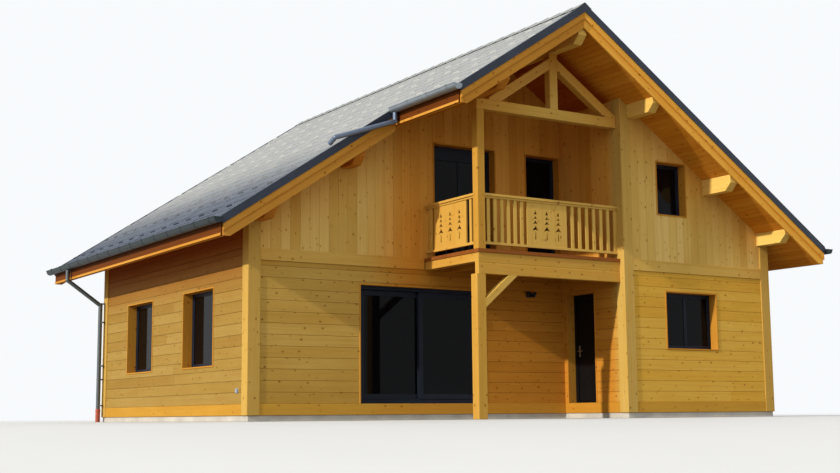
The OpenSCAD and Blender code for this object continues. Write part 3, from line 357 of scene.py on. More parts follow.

# %% [markdown]
# The same spruce is given different colours from place to place, and most of that is
# painted light: paler and bluer on the gables, for the sheen of the sky and the brighter light
# high on the walls; brighter and more golden on the wing, for the fuller light on its front;
# darker on the long sides, for the dappled shade on them. Trim is oiled and redder. Each is
# a wood of its own, with colours written as they look, which is easier than tuning one wood
# for all places.

# %% The woods of the house
siding_wood = wood("spruce_siding", (204, 172, 96), (188, 150, 70), (162, 118, 42), (96, 56, 20),
                   eave_share=1.0)
# Painted shade: darker tones for the dappled shade on the long walls, and a deeper amber under their eaves.
side_wood = wood("spruce_side", (170, 142, 80), (156, 124, 58), (134, 98, 36), (84, 50, 18),
                 amber=1.0, eave_share=1.0, tint=DEEP_AMBER)
# Painted light: paler and bluer tones for the sky's sheen and the brighter light on the gables.
upright_wood = wood("spruce_upright", (228, 196, 122), (214, 178, 96), (188, 144, 60), (112, 70, 30),
                    knots=0.7, spread=0.5, eave_share=0.40)
# Painted light: brighter, more golden tones for the fuller light on the wing's front.
wing_wood = wood("spruce_siding_wing", (222, 182, 88), (210, 162, 60), (184, 128, 34), (108, 64, 24),
                 knots=0.75)
# Two copies of one spruce: the pale one paints sunlight on the purlin ends, the amber one paints the shade
# under the left slope.
purlin_wood = wood("purlins_painted_sunlight", (238, 204, 124), (226, 186, 96), (200, 152, 62), (104, 62, 24),
                   knots=0.5, amber=0)
shaded_purlin_wood = wood("purlins_painted_shade", (206, 140, 56), (192, 122, 40), (160, 92, 24), (96, 52, 18),
                          knots=0.5, amber=0)
porch_wood = wood("spruce_porch", (216, 182, 104), (204, 164, 78), (180, 130, 48), (104, 62, 24),
                  knots=0.6, spread=0.3, amber=0.15)
beam_wood = wood("spruce_beams", (206, 164, 80), (192, 144, 58), (168, 114, 36), (104, 62, 24),
                 knots=0.6, spread=0.3, amber=0.15)
# Painted shade: the corner posts are a darker copy of the porch timber, for the shade on them.
post_wood = wood("spruce_corner_posts", (204, 174, 100), (192, 154, 74), (168, 122, 46), (100, 60, 24),
                 knots=0.6, spread=0.3, amber=0.2)
timber_wood = wood("spruce_timber", (216, 182, 104), (204, 164, 78), (180, 130, 48), (100, 58, 22),
                   knots=0.6, spread=0.3)
trim_wood = wood("oiled_trim", (210, 160, 76), (196, 140, 52), (168, 106, 30), (88, 46, 14),
                 knots=0.6, amber=0.3)
# Painted shade: the fascias are a very dark copy of the trim, for the shadow of the gutters on them.
shaded_fascia_wood = wood("fascia_painted_shade", (112, 60, 16), (100, 50, 10), (78, 36, 6), (48, 24, 8),
                   knots=0.5, amber=0)
# Painted light: the right barge boards are a paler copy of the trim, for the sun on them.
lit_barge_wood = wood("barge_painted_light", (242, 186, 84), (228, 162, 58), (198, 124, 34), (96, 50, 16),
                  knots=0.5, amber=0)
# Painted shade: the lining has an amber base, for the shade and bounced orange light under the roof, and a
# deeper tint in the recess.
soffit_wood = wood("spruce_soffit", (224, 160, 62), (210, 138, 42), (180, 104, 22), (96, 50, 14),
                   knots=0.6, amber=0.8, eave_share=0.0, tint=RECESS_AMBER)
sill_wood = wood("oiled_sill", (206, 164, 76), (194, 146, 54), (170, 116, 32), (92, 52, 18),
                 knots=0.5, amber=0.35, eave_share=0.0)
deck_wood = wood("larch_deck", (150, 92, 42), (136, 78, 32), (116, 62, 22), (70, 38, 14),
                 knots=0.5, amber=0)
print("woods:", len(bpy.data.materials) - already)

# %% [markdown]
# The rest of the house is finished in slate-grey concrete tiles, folded zinc, painted
# metal, glass and pale concrete. None of them is one flat colour: tiles differ from
# one to the next, zinc clouds as it weathers, and concrete has pores and stains. Noise on
# Object coordinates does all of this, and it runs on from piece to piece without a seam.
# The low courses of the roof are painted darker and bluer, as painted shade, and the high
# ones paler, as painted sunlight.

# %% Plain finishes and tiles
def plain(name, color, other, rough, metallic=0.0, scale=3.0, grit=90.0, depth=0.0006, shine=0.3):
    """A finish that wavers between two colours, with a fine grit."""
    shade = Shader(name)
    here = shade.place()
    cloud, speck = shade.noise(here, scale, 4.0, 0.6), shade.noise(here, grit, 2.0, 0.6)
    return shade.finish({
        "Base Color": shade.mix(shade.between(cloud, 0.3, 0.7), color, other),
        "Metallic": metallic, "Specular IOR Level": shine,
        "Roughness": cloud * 0.12 + speck * 0.08 + (rough - 0.10), "Normal": shade.bump(speck, 0.3, depth)})


TILE_SHADE_LOW, TILE_SHADE_HIGH = 3.80, 5.70


def tile_finish(name, sunlit, shaded):
    """Two sunlit and two shaded colours, painted high and low on the roof. The tone of a tile picks between
    each two.
    """
    shade = Shader(name)
    here = shade.place()
    cloud, grit = shade.noise(here, 1.3, 4.0, 0.6), shade.noise(here, 260.0, 3.0, 0.65)
    stain = shade.noise(shade.stretch(here, (5.0, 5.0, 0.6)), 1.0, 3.0, 0.6)
    share = shade.written("tone", 2) * 0.5 + cloud * 0.5
    height = shade.parts(here)[2] + cloud * 0.35
    body = shade.mix(shade.between(height, TILE_SHADE_LOW, TILE_SHADE_HIGH), shade.mix(share, *shaded),
                     shade.mix(share, *sunlit))
    worn = shade.mix(shade.between(stain, 0.45, 0.8) * 0.12, body, sunlit[1])
    return shade.finish({
        "Base Color": shade.mix(shade.between(grit, 0.55, 0.75) * 0.20, worn, shaded[1]),
        "Roughness": grit * 0.10 + cloud * 0.10 + 0.50, "Specular IOR Level": 0.08,
        "Normal": shade.bump(grit, 0.20, 0.0006)})


# Painted light on the roof: shaded tones on the low courses, sunlit ones higher up.
tile_slate = tile_finish("tile_slate", ((136, 138, 138), (152, 153, 151)), ((58, 65, 79), (80, 88, 101)))
# Painted light on the snow stops: pale tones for their sunlit glint, dark ones for their shade low on the
# roof.
stop_slate = tile_finish("stop_slate", ((172, 172, 168), (184, 184, 180)), ((34, 40, 52), (46, 54, 66)))
print("tiles dry from", TILE_SHADE_LOW, "to", TILE_SHADE_HIGH, "m")

# %% [markdown]
# Zinc is given two looks here, and on the gutters both are painted light. The short gutter
# of the porch is pale, for the sun on it, and the long low gutters are dark, for the shade on
# them. They share a node, so the shader tells them apart by height. The pipes are bluer on
# the spout above and greyer on the downpipes below, told apart the same way. A downpipe
# also has a red iron foot.

# %% Zinc
# Sunlit and shaded tones of the same zinc: painted light and painted shade.
SUNLIT_ZINC, SHADED_ZINC = ((122, 130, 138), (148, 156, 163)), ((24, 32, 37), (44, 55, 58))
PIPE_FOOT, PIPE_SPLIT, GUTTER_SUNLIT = 0.284, (3.9, 4.1), 4.5


def pipe_finish():
    """Bluer zinc above a height, greyer zinc below, and a red iron foot."""
    shade = Shader("zinc_pipe")
    here = shade.place()
    height, cloud = shade.parts(here)[2], shade.noise(here, 7.0, 4.0, 0.6)
    painted = shade.between(height, PIPE_FOOT, PIPE_FOOT - 0.004, smooth=False)
    bright = shade.mix(cloud, (88, 100, 120), (112, 124, 142))
    dull = shade.mix(cloud, (74, 80, 84), (100, 106, 108))
    metal = shade.mix(shade.between(height, *PIPE_SPLIT), dull, bright)
    return shade.finish({
        "Base Color": shade.mix(painted, metal, shade.mix(cloud, (150, 62, 40), (176, 84, 56))),
        "Metallic": 0.7 - painted * 0.7, "Roughness": cloud * 0.2 + 0.36})


def two_zinc_finish():
    """Paler zinc on the short gutter of the porch, for painted sunlight, darker on the long low ones, for
    painted shade.
    """
    shade = Shader("two_zincs")
    here = shade.place()
    height, cloud = shade.parts(here)[2], shade.noise(here, 6.0, 4.0, 0.6)
    in_shade = shade.between(height, GUTTER_SUNLIT + 0.02, GUTTER_SUNLIT - 0.02, smooth=False)
    return shade.finish({
        "Base Color": shade.mix(in_shade, shade.mix(cloud, *SUNLIT_ZINC), shade.mix(cloud, *SHADED_ZINC)),
        "Metallic": 0.6 - in_shade * 0.5, "Specular IOR Level": 0.2, "Roughness": cloud * 0.12 + 0.38})


zinc_pipe, two_zincs = pipe_finish(), two_zinc_finish()
# Sunlit and shaded copies of the zinc, for the straps and beads of the gutters.
zinc = plain("sunlit_zinc_finish", *SUNLIT_ZINC, 0.46, 0.6, 6.0)
shaded_zinc = plain("shaded_zinc_finish", *SHADED_ZINC, 0.5, 0.1, 5.0, shine=0.2)
# Heights above which the zinc is painted sunlit on the gutters, and bluer on the pipes.
print("zinc is new above", GUTTER_SUNLIT, "m on gutters and", PIPE_SPLIT[0], "m on pipes")

# %% [markdown]
# By day a window looks almost black from outside, with a soft shine. Glass that bends
# light needs many samples to come out clean. A dark, nearly opaque pane with a slight wave
# in its surface gives the same look at once. Its near-black colour is painted shade, for the
# unlit rooms behind it.

# %% Glass
def glass_finish():
    """Dark panes that waver a little and let a trace of light through."""
    shade = Shader("dark_glass")
    here = shade.place()
    wave, dirt = shade.noise(here, 1.1, 2.0), shade.noise(here, 9.0, 4.0, 0.6)
    glass = shade.finish({
        "Base Color": shade.mix(dirt, (5, 6, 8), (9, 10, 13)), "Roughness": dirt * 0.05 + 0.02,
        "Alpha": 0.93, "Specular IOR Level": 0.09, "Normal": shade.bump(wave, 0.12, 0.004)})
    glass.surface_render_method = "BLENDED"
    return glass


dark_glass = glass_finish()
print("glass ready:", dark_glass.name)

# %% [markdown]
# Each wall of the frame is one solid, from the rooms to the battens. Outside it carries a
# dark membrane, which shows in the joints between the boards, and inside a pale panel. Two
# materials would need every face picked by hand. One shader can tell them apart by asking
# whether a face looks away from the middle of the house.

# %% Inside of the walls
WALL_MIDDLE = (0.0, -0.2, 1.5)


def wall_core():
    """Dark membrane on the outer faces, pale panel on the faces towards the rooms."""
    shade = Shader("wall_core")
    here = shade.place()
    outwards = shade.node("VectorMath", {"operation": "SUBTRACT"}, {0: here, 1: WALL_MIDDLE})
    facing = shade.node("NewGeometry", out=1)
    side = shade.node("VectorMath", {"operation": "DOT_PRODUCT"}, {0: outwards, 1: facing}, out=1)
    panel = shade.mix(shade.noise(here, 40.0), (214, 198, 170), (204, 186, 156))
    return shade.finish({"Base Color": shade.mix(side > 0, panel, (46, 40, 34)), "Roughness": 0.75})


core = wall_core()
print("walls turn round", WALL_MIDDLE)

# %% [markdown]
# Painted metal, concrete, steel and panels need no more than two close colours and a fine
# grit, so one function serves them all and only its numbers change.

# %% The plain finishes
dark_metal = plain("dark_metal_finish", (36, 42, 54), (46, 53, 67), 0.42, 0.2, 2.0)
anthracite = plain("anthracite_finish", (20, 25, 36), (27, 32, 44), 0.42, 0.0, 3.0, 220.0, 0.0003, 0.12)
concrete = plain("concrete_finish", (176, 170, 160), (196, 190, 178), 0.85, 0.0, 2.2, 70.0, 0.002)
door_paint = plain("door_paint_finish", (13, 12, 13), (18, 17, 18), 0.38, 0.0, 3.0, 160.0, 0.0003, 0.10)
steel = plain("steel_finish", (176, 178, 180), (196, 198, 200), 0.3, 0.95, 20.0, 300.0, 0.0002)
lamp_black = plain("lamp_black_finish", (24, 24, 26), (30, 30, 33), 0.45, 0.0, 12.0, 200.0, 0.0002, 0.12)
socket_grey = plain("socket_grey_finish", (142, 152, 166), (150, 160, 174), 0.4, 0.0, 20.0)
floor_panel = plain("floor_panel_finish", (190, 176, 150), (204, 190, 164), 0.6, 0.0, 2.0)
print("woods and finishes:", len(bpy.data.materials) - already)

# %% [markdown]
# Walls, panes, gutters and metal trims need no grain and no broken edges. They keep the
# mesh that the frame brought, and only its material is changed.

# %% Finishes on the nodes that stay as they are
def coat(mesh, material):
    mesh.materials.clear()
    mesh.materials.append(material)


for finish, nodes in (
        (core, "front_wall back_wall left_wall right_wall porch_wall wing_front_wall wing_side_wall"),
        (core, "wing_upper_side front_gable back_gable wing_gable patio_lintel door_lintel"),
        (concrete, "ground_floor"), (floor_panel, "upper_floor"), (two_zincs, "gutters"),
        (dark_glass, "lower_glass upper_glass patio_sliding_glass"), (zinc_pipe, "downpipes"),
        (dark_metal, "ridge_cap verge_trim_left verge_trim_right"), (steel, "entrance_handle"),
        (door_paint, "entrance_leaf entrance_frame"), (lamp_black, "wall_lamp")):
    for node in nodes.split():
        coat(frame["nodes"][node].data, finish)
print("finishes on plain nodes set")

# %% [markdown]
# Solid timber shows a soft glint along each edge, because a plane or sandpaper breaks
# the sharp corner. So each timber node is copied, its loose triangles are joined into
# clean faces, and its edges get a small chamfer. The same step finds which way each
# piece runs and writes its grain.

# %% Clean copies and their solids
MERGE, FLAT = 2e-5, math.radians(0.5)


def joined(node):
    """A clean copy of a node's mesh."""
    clean = bmesh.new()
    clean.from_mesh(frame["nodes"][node].data)
    bmesh.ops.remove_doubles(clean, verts=clean.verts, dist=MERGE)
    bmesh.ops.dissolve_limit(clean, angle_limit=FLAT, verts=clean.verts, edges=clean.edges)
    return clean


def solids(clean):
    """The separate solids of a mesh, each as its list of faces."""
    left, groups = set(clean.faces), []
    for face in clean.faces:
        if face not in left:
            continue
        left.discard(face)
        group, todo = [], [face]
        while todo:
            current = todo.pop()
            group.append(current)
            for other in (face for edge in current.edges for face in edge.link_faces):
                if other in left:
                    left.discard(other)
                    todo.append(other)
        groups.append(group)
    return groups


def solid_boxes(node):
    """The box round every solid of a node."""
    clean = joined(node)
    boxes = [box_round(v.co for f in group for v in f.verts) for group in solids(clean)]
    clean.free()
    return boxes


lining_boxes = solid_boxes("opening_linings")
print("openings:", len(lining_boxes))

# %% Grain along each piece
draws = random.Random(11)
SHIFT = 40


def axes(along):
    side = UP if abs(along.z) < 0.7 else NORTH
    across = along.cross(side).normalized()
    return Matrix((along, across, along.cross(across)))


def write_grain(clean, way_of_face):
    """Writes grain and tone. way_of_face says which way the wood runs at a face."""
    grain = clean.loops.layers.float_vector.new("grain")
    tone = clean.loops.layers.float.new("tone")
    for group in solids(clean):
        edge = max((e for f in group for e in f.edges), key=lambda e: e.calc_length())
        longest = (edge.verts[1].co - edge.verts[0].co).normalized()
        shift = Vector([draws.uniform(-SHIFT, SHIFT) for _ in range(3)])
        share = draws.random()
        for face in group:
            turn = axes(way_of_face(face, longest))
            for loop in face.loops:
                loop[grain] = turn @ loop.vert.co + shift
                loop[tone] = share


def runs_long(face, longest):
    return longest


def runs_level(face, longest):
    """Boards round a corner: each runs level in its own face."""
    return NORTH if abs(face.normal.x) > 0.7 else EAST


print("grain is written per solid")

# %% [markdown]
# Every finished piece rides on the body that it moves with, and the nodes of the frame
# that it stands for are hidden. One helper does both, so that neither is forgotten, and a
# second one also gives the piece its finish.

# %% Pieces for the house
def place_mesh(name, mesh, nodes=(), body=HOUSE):
    """Makes the piece, lets it ride on its body and hides the nodes that it stands for."""
    piece = show(name, mesh)
    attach(piece, body)
    if nodes:
        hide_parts(*nodes)


def finish_mesh(name, clean, material, nodes=(), body=HOUSE):
    mesh = bpy.data.meshes.new(name)
    clean.to_mesh(mesh)
    clean.free()
    coat(mesh, material)
    place_mesh(name, mesh, nodes, body)


print("pieces ride on the", HOUSE)

# %% Broken edges and a groove
GROOVE, GROOVE_DEEP, GROOVE_DROP = 0.009, 0.022, 0.01


def cut_groove(clean):
    """A V groove at half height along the front of a beam, as between two boards."""
    lowest, highest = box_round(v.co for v in clean.verts)
    middle = (lowest.z + highest.z) / 2 - GROOVE_DROP
    for level in (middle - GROOVE, middle, middle + GROOVE):
        bmesh.ops.bisect_plane(clean, geom=clean.verts[:] + clean.edges[:] + clean.faces[:],
                               plane_co=(0, 0, level), plane_no=UP)
    for corner in clean.verts:
        if abs(corner.co.z - middle) < 1e-4 and corner.co.y < lowest.y + 1e-3:
            corner.co.y += GROOVE_DEEP


def dress(node, material, edge=0.004, way=runs_long, body=HOUSE, groove=False):
    """A copy of a timber node with broken edges and its own grain."""
    clean = joined(node)
    if groove:
        cut_groove(clean)
    sharp = [e for e in clean.edges if len(e.link_faces) == 2 and e.calc_face_angle(0) > 0.5
             and e.calc_length() > 4 * edge]
    bmesh.ops.bevel(clean, geom=sharp, offset=edge, segments=1, affect="EDGES", clamp_overlap=True)
    write_grain(clean, way)
    finish_mesh(node + "_finished", clean, material, [node], body)


print("the groove is", GROOVE * 2, "m wide")

# %% Dress the timber
for node in ("king_post", "tie_beam", "truss_struts"):
    dress(node, timber_wood, 0.006)
dress("corner_posts", post_wood, 0.006)
dress("posts", beam_wood, 0.006)
dress("knee_brace", porch_wood, 0.006)
dress("balcony_joists", timber_wood, 0.004)
dress("balcony_beams", beam_wood, 0.005, runs_level, groove=True)
dress("purlins_right", purlin_wood, 0.006)
dress("ridge_purlin", purlin_wood, 0.006)
dress("purlins_left", shaded_purlin_wood, 0.006)
dress("barge_left", trim_wood, 0.003)
dress("barge_right", lit_barge_wood, 0.003)
dress("fascias", shaded_fascia_wood, 0.003)
dress("belly_bands", timber_wood, 0.004, runs_level)
dress("sill_boards", sill_wood, 0.004, runs_level)

# %% [markdown]
# A lining and a railing are made of boards that run two ways. In a lining the sides
# stand and the head and the sill lie. In a railing the rails lie and the boards between
# them stand, so the way of the grain is chosen by where a face is. The window frames
# and the leaves of the sliding door get their broken edges here too.

# %% Linings, railings and window frames
LINING_EDGE, LINING_NEAR = 0.03, 0.01
RAIL_FOOT, RAIL_HEAD = 0.141, 0.079
rail_low, rail_high = deck_top + RAIL_FOOT, high("railing_front").z - RAIL_HEAD


def runs_round(face, longest):
    """Up the sides of an opening, level at its head and sill."""
    here = face.calc_center_median()
    for lowest, highest in lining_boxes:
        if all(lowest[i] - LINING_NEAR < here[i] < highest[i] + LINING_NEAR for i in range(3)):
            if here.z > highest.z - LINING_EDGE or here.z < lowest.z + LINING_EDGE:
                return NORTH if highest.x - lowest.x < WALL_T else EAST
    return UP


def runs_rail(level):
    return lambda face, longest: UP if rail_low <= face.calc_center_median().z <= rail_high else level


dress("opening_linings", trim_wood, 0.002, runs_round)
dress("railing_front", porch_wood, 0.003, runs_rail(EAST))
dress("railing_side", porch_wood, 0.003, runs_rail(NORTH))
for node in ("lower_window_frames", "upper_window_frames", "patio_frame", "patio_fixed_leaf"):
    dress(node, anthracite, 0.003)
dress("patio_sliding_leaf", anthracite, 0.003, body="patio_leaf")
print("rails below", round(rail_low, 3), "and above", round(rail_high, 3))

# %% [markdown]
# Boards, tiles and snow stops repeat by the hundred. A loop that adds objects would be
# slow, and an Array modifier makes them all alike, so Geometry Nodes lay them. This small
# class builds such a tree in the script: inputs get names, nodes are added by type, and
# the end sets one template on many points and makes it real.

# %% Writing Geometry Nodes trees
class Laying:
    """A Geometry Nodes tree with named inputs that sets one template on many points."""

    def __init__(self, name, inputs):
        self.group = bpy.data.node_groups.new(name, "GeometryNodeTree")
        face = self.group.interface
        face.new_socket(name="Geometry", in_out="OUTPUT", socket_type="NodeSocketGeometry")
        inputs = {"Points": "Geometry", **inputs, "Seed": "Int", "Material": "Material"}
        self.ids = {}
        for label, kind in inputs.items():
            socket = face.new_socket(name=label, in_out="INPUT", socket_type="NodeSocket" + kind)
            self.ids[label] = socket.identifier
        self.given = self.group.nodes.new("NodeGroupInput").outputs
        self.end = self.group.nodes.new("NodeGroupOutput")

    def node(self, kind, settings=None, inputs=None, out=0):
        return add_node(self.group, kind, settings, inputs).outputs[out]

    def named(self, name, kind="FLOAT_VECTOR"):
        return self.node("GeometryNodeInputNamedAttribute", {"data_type": kind}, {"Name": name})

    def chance(self, least, most, number, vector=False):
        """A random number, or vector, that stays the same for the same number."""
        kind, slots, out = ("FLOAT_VECTOR", (0, 1), 0) if vector else ("FLOAT", (2, 3), 1)
        return self.node("FunctionNodeRandomValue", {"data_type": kind}, {
            slots[0]: least, slots[1]: most, "ID": number, "Seed": self.given["Seed"]}, out=out)

    def store(self, geometry, name, value, domain="POINT", kind="FLOAT_VECTOR"):
        return self.node("GeometryNodeStoreNamedAttribute", {"data_type": kind, "domain": domain}, {
            "Geometry": geometry, "Name": name, "Value": value})

    def lay(self, template, tilt=0.0):
        """Sets the template on every point, makes it real, and writes grain and tone."""
        board = self.named("board", "INT")
        turn = self.chance((-tilt,) * 3, (tilt,) * 3, self.node("GeometryNodeInputIndex"), True)
        laid = self.node("GeometryNodeInstanceOnPoints", {}, {
            "Points": self.given["Points"], "Instance": template, "Scale": self.named("size"),
            "Rotation": self.node("FunctionNodeEulerToRotation", {}, {0: turn})})
        laid = self.store(laid, "tone", self.chance(0.0, 1.0, board), "INSTANCE", "FLOAT")
        laid = self.store(laid, "shift", self.chance((-SHIFT,) * 3, (SHIFT,) * 3, board, True), "INSTANCE")
        real = self.node("GeometryNodeRealizeInstances", {}, {"Geometry": laid})
        real = self.store(real, "grain", self.node("ShaderNodeVectorMath", {"operation": "ADD"}, {
            0: self.node("GeometryNodeInputPosition"), 1: self.named("shift")}))
        real = self.node("GeometryNodeSetShadeSmooth", {}, {"Geometry": real, "Shade Smooth": False})
        for name in ("shift", "size", "board"):
            real = self.node("GeometryNodeRemoveAttribute", {}, {"Geometry": real, "Name": name})
        done = self.node("GeometryNodeSetMaterial", {},
                         {"Geometry": real, "Material": self.given["Material"]})
        self.group.links.new(done, self.end.inputs[0])
        return self


print("laying class ready, grain shifts up to", SHIFT, "m")

# %% [markdown]
# A tree runs as a modifier on a mesh of bare points, and each point says how large its
# piece is and which board it belongs to. The result is taken back as a plain mesh, because
# the export would drop instances.

# %% Running a tree
def run(tree, points, values):
    """Runs a tree on points of (place, size, board number) and returns a plain mesh."""
    mesh = bpy.data.meshes.new("points")
    mesh.from_pydata([p[0] for p in points], [], [])
    size = mesh.attributes.new("size", "FLOAT_VECTOR", "POINT")
    size.data.foreach_set("vector", [v for p in points for v in p[1]])
    board = mesh.attributes.new("board", "INT", "POINT")
    board.data.foreach_set("value", [p[2] for p in points])
    holder = show("holder", mesh)
    modifier = holder.modifiers.new("laying", "NODES")
    modifier.node_group = tree.group
    for label, value in values.items():
        modifier[tree.ids[label]] = value
    ready = holder.evaluated_get(bpy.context.evaluated_depsgraph_get())
    result = bpy.data.meshes.new_from_object(ready)
    holder.modifiers.clear()
    bpy.data.objects.remove(holder)
    coat(result, values["Material"])
    result.polygons.foreach_set("material_index", [0] * len(result.polygons))
    return result


print("trees are run on points")

# %% [markdown]
# The walls are clad in planed boards with a chamfer on both edges, so that two of them
# meet in a V. Boards lie level on the ground floor and stand upright on the gables. One
# section is drawn as a rectangle with cut corners and swept to a length of one metre,
# and each point then stretches it to its own board. A point carries a board number, so
# that the parts of a board round a window keep one tone and one grain.

# %% The board tree
def board_tree():
    tree = Laying("chamfered_boards", {"Width": "Float", "Thickness": "Float", "Chamfer": "Float"})

    def times(label, factor):
        return tree.node("ShaderNodeMath", {"operation": "MULTIPLY"}, {0: tree.given[label], 1: factor})

    outline = tree.node("GeometryNodeCurvePrimitiveQuadrilateral", {"mode": "RECTANGLE"},
                        {"Width": tree.given["Width"], "Height": times("Thickness", 2.0)})
    outline = tree.node("GeometryNodeFilletCurve", {"mode": "POLY"},
                        {"Curve": outline, "Radius": tree.given["Chamfer"], "Count": 1})
    line = tree.node("GeometryNodeCurvePrimitiveLine", {}, {"Start": (0, 0, 0), "End": (1, 0, 0)})
    swept = tree.node("GeometryNodeCurveToMesh", {}, {
        "Curve": line, "Profile Curve": outline, "Fill Caps": True})
    middle = tree.node("ShaderNodeCombineXYZ", {}, {"Y": times("Width", 0.5)})
    return tree.lay(tree.node("GeometryNodeTransform", {}, {"Geometry": swept, "Translation": middle}))


boards = board_tree()


def lay_boards(points, width, thick, chamfer, seed, material):
    return run(boards, points, {"Width": width, "Thickness": thick, "Chamfer": chamfer,
                                "Seed": seed, "Material": material})


print("board tree:", len(boards.group.nodes), "nodes")

# %% [markdown]
# Where a board meets a window, a joiner saws it. A Boolean could do the sawing, but it is
# slow on hundreds of boards. Here each board starts as a rectangle on its wall, and what
# lies beside, below and above an opening is kept.

# %% Rows of boards and the openings they leave
SLIVER, JOINT = 0.004, 0.0015
LEVEL_PITCH, LEVEL_GAP, LEVEL_EDGE = 0.200, 0.003, 0.005
UPRIGHT_PITCH, UPRIGHT_GAP, UPRIGHT_EDGE = 0.194, 0.002, 0.003
INTO_ROOF, LINING_PROUD = 0.03, 0.034


def cut_out(piece, hole):
    """What is left of a rectangle (s0, s1, z0, z1) beside a hole."""
    s0, s1, z0, z1 = piece
    h0, h1, k0, k1 = hole
    if h0 >= s1 or h1 <= s0 or k0 >= z1 or k1 <= z0:
        return [piece]
    a, b = max(s0, h0), min(s1, h1)
    parts = [(s0, a, z0, z1), (b, s1, z0, z1), (a, b, z0, max(z0, k0)), (a, b, min(z1, k1), z1)]
    return [p for p in parts if p[1] - p[0] > SLIVER and p[3] - p[2] > SLIVER]


def without(piece, holes):
    left = [piece]
    for hole in holes:
        left = [part for whole in left for part in cut_out(whole, hole)]
    return left


def lengths(start, last, least, most, stub=1.0):
    """Random board lengths from start to last, with no piece shorter than a stub at the end."""
    while start < last:
        end = start + draws.uniform(least, most)
        end = last if end > last - stub else end
        yield start, end
        start = end


def level_boards(s0, s1, z0, z1):
    """Level boards with random butt joints, two to five metres long."""
    made, z = [], z0
    while z < z1 - 0.01:
        top = min(z + LEVEL_PITCH, z1)
        made += [(s, end - (JOINT if end < s1 else 0), z, top) for s, end in lengths(s0, s1, 2.4, 5.0, 0.8)]
        z = top
    return made


def upright_boards(s0, s1, bottom, roof):
    """Upright boards whose heads run into the roof."""
    made, s = [], s0
    while s < s1 - 0.01:
        end = min(s + UPRIGHT_PITCH, s1)
        made.append((s, end, bottom, max(roof(s), roof(end)) + INTO_ROOF))
        s = end
    return made


def openings_in(along, out, depth):
    """The openings of one wall, as (s0, s1, z0, z1)."""
    found = []
    for lowest, highest in lining_boxes:
        if abs(max(out.dot(lowest), out.dot(highest)) - depth - LINING_PROUD) < 0.01:
            found.append((*sorted((along.dot(lowest), along.dot(highest))), lowest.z, highest.z))
    return found


print("boards every", LEVEL_PITCH, "and", UPRIGHT_PITCH, "m")

# %% One clad wall
WING_POST = 0.22
board_count = 0
balcony_x, inner = low("balcony_beams").x, high("balcony_deck").x + POST_PROUD
post_in = half_w - post_w
wing_in = inner + WING_POST
core_y, core_wing, core_x = -low("front_wall").y, -low("wing_front_wall").y, -low("left_wall").x
side_x = -low("wing_side_wall").x
side_y = core_y + BOARD_T


def clad(name, along, out, depth, areas, upright, material):
    """Covers areas of one wall with boards."""
    global board_count
    pitch, gap, edge = ((UPRIGHT_PITCH, UPRIGHT_GAP, UPRIGHT_EDGE) if upright
                        else (LEVEL_PITCH, LEVEL_GAP, LEVEL_EDGE))
    holes, points = openings_in(along, out, depth), []
    for area in areas:
        board_count += 1
        for s0, s1, z0, z1 in without(area, holes):
            start, end, near, far = (z0, z1, -s1, -s0) if upright else (s0, s1, z0, z1)
            share = (far - near - gap) / pitch
            points.append(((start, near + gap / 2, 0), (end - start, share, 1), board_count))
    mesh = lay_boards(points, pitch, BOARD_T, edge, 5, material)
    mesh.transform(placed(*((UP, -along) if upright else (along, UP)), out, out * depth))
    place_mesh(name, mesh)


print("boards start above", round(siding_foot, 3), "m")

# %% [markdown]
# Each wall is named by two directions: along it, and out of it. The same drawing then
# serves all sides. The side walls take their boards in two heights, which meet at the
# level of the balcony floor.

# %% Clad the walls
clad("front_boards_low", EAST, SOUTH, core_y, level_boards(-post_in, inner, siding_foot, band_low)
     + level_boards(balcony_x, inner, band_low, deck_low), False, siding_wood)
clad("front_boards_high", EAST, SOUTH, core_y,
     upright_boards(-post_in, inner, band_top, soffit), True, upright_wood)
clad("wing_boards_low", EAST, SOUTH, core_wing,
     level_boards(wing_in, post_in, siding_foot, band_low), False, wing_wood)
clad("wing_boards_high", EAST, SOUTH, core_wing,
     upright_boards(wing_in, post_in, band_top, soffit), True, upright_wood)
clad("wing_side_boards_low", SOUTH, WEST, side_x,
     level_boards(side_y, -wing_y - post_w, siding_foot, deck_top), False, siding_wood)
clad("wing_side_boards_high", SOUTH, WEST, side_x,
     upright_boards(side_y, -wing_y - post_w, deck_top, lambda s: soffit(inner)), True, upright_wood)
side_rows = [(siding_foot, deck_top), (deck_top + SLIVER, soffit(half_w - POST_PROUD) + INTO_ROOF)]
for name, along, out, s0, s1 in (
        ("left_boards", SOUTH, WEST, -(back_y - post_w), -front_y - post_w),
        ("right_boards", NORTH, EAST, wing_y + post_w, back_y - post_w)):
    rows = [row for z0, z1 in side_rows for row in level_boards(s0, s1, z0, z1)]
    clad(name, along, out, core_x, rows, False, side_wood)
clad("back_boards_low", WEST, NORTH, core_y,
     level_boards(-post_in, post_in, siding_foot, band_low), False, siding_wood)
clad("back_boards_high", WEST, NORTH, core_y,
     upright_boards(-post_in, post_in, band_top, soffit), True, upright_wood)
print("wall boards:", board_count)

# %% [markdown]
# Under the eaves the roof shows its lining: narrow boards with V joints that run the
# length of the house. Grooves could be cut into the slabs, but laid boards have true
# joints and a grain of their own. The roof slabs are copied with their lower face raised
# by the thickness of a board, and the boards fill the room that this leaves. Right at the
# eave the underside is cut level, and one flat board closes it.

# %% Roof slabs and their lining
SLOPES = (("left", -1), ("right", 1), ("porch", -1))
LINING_PITCH, LINING_GAP = 0.118, 0.001
RIDGE_CLEAR = 0.03


def slope_frame(side, drop):
    """From a flat drawing, X along the ridge and Y up the slope from the eave, to the roof."""
    rise = Vector((-side * math.cos(pitch_angle), 0, math.sin(pitch_angle)))
    out = Vector((side * math.sin(pitch_angle), 0, math.cos(pitch_angle)))
    along = rise.cross(out)
    return placed(along, rise, out, (0, 0, ridge_z - drop)), along.y


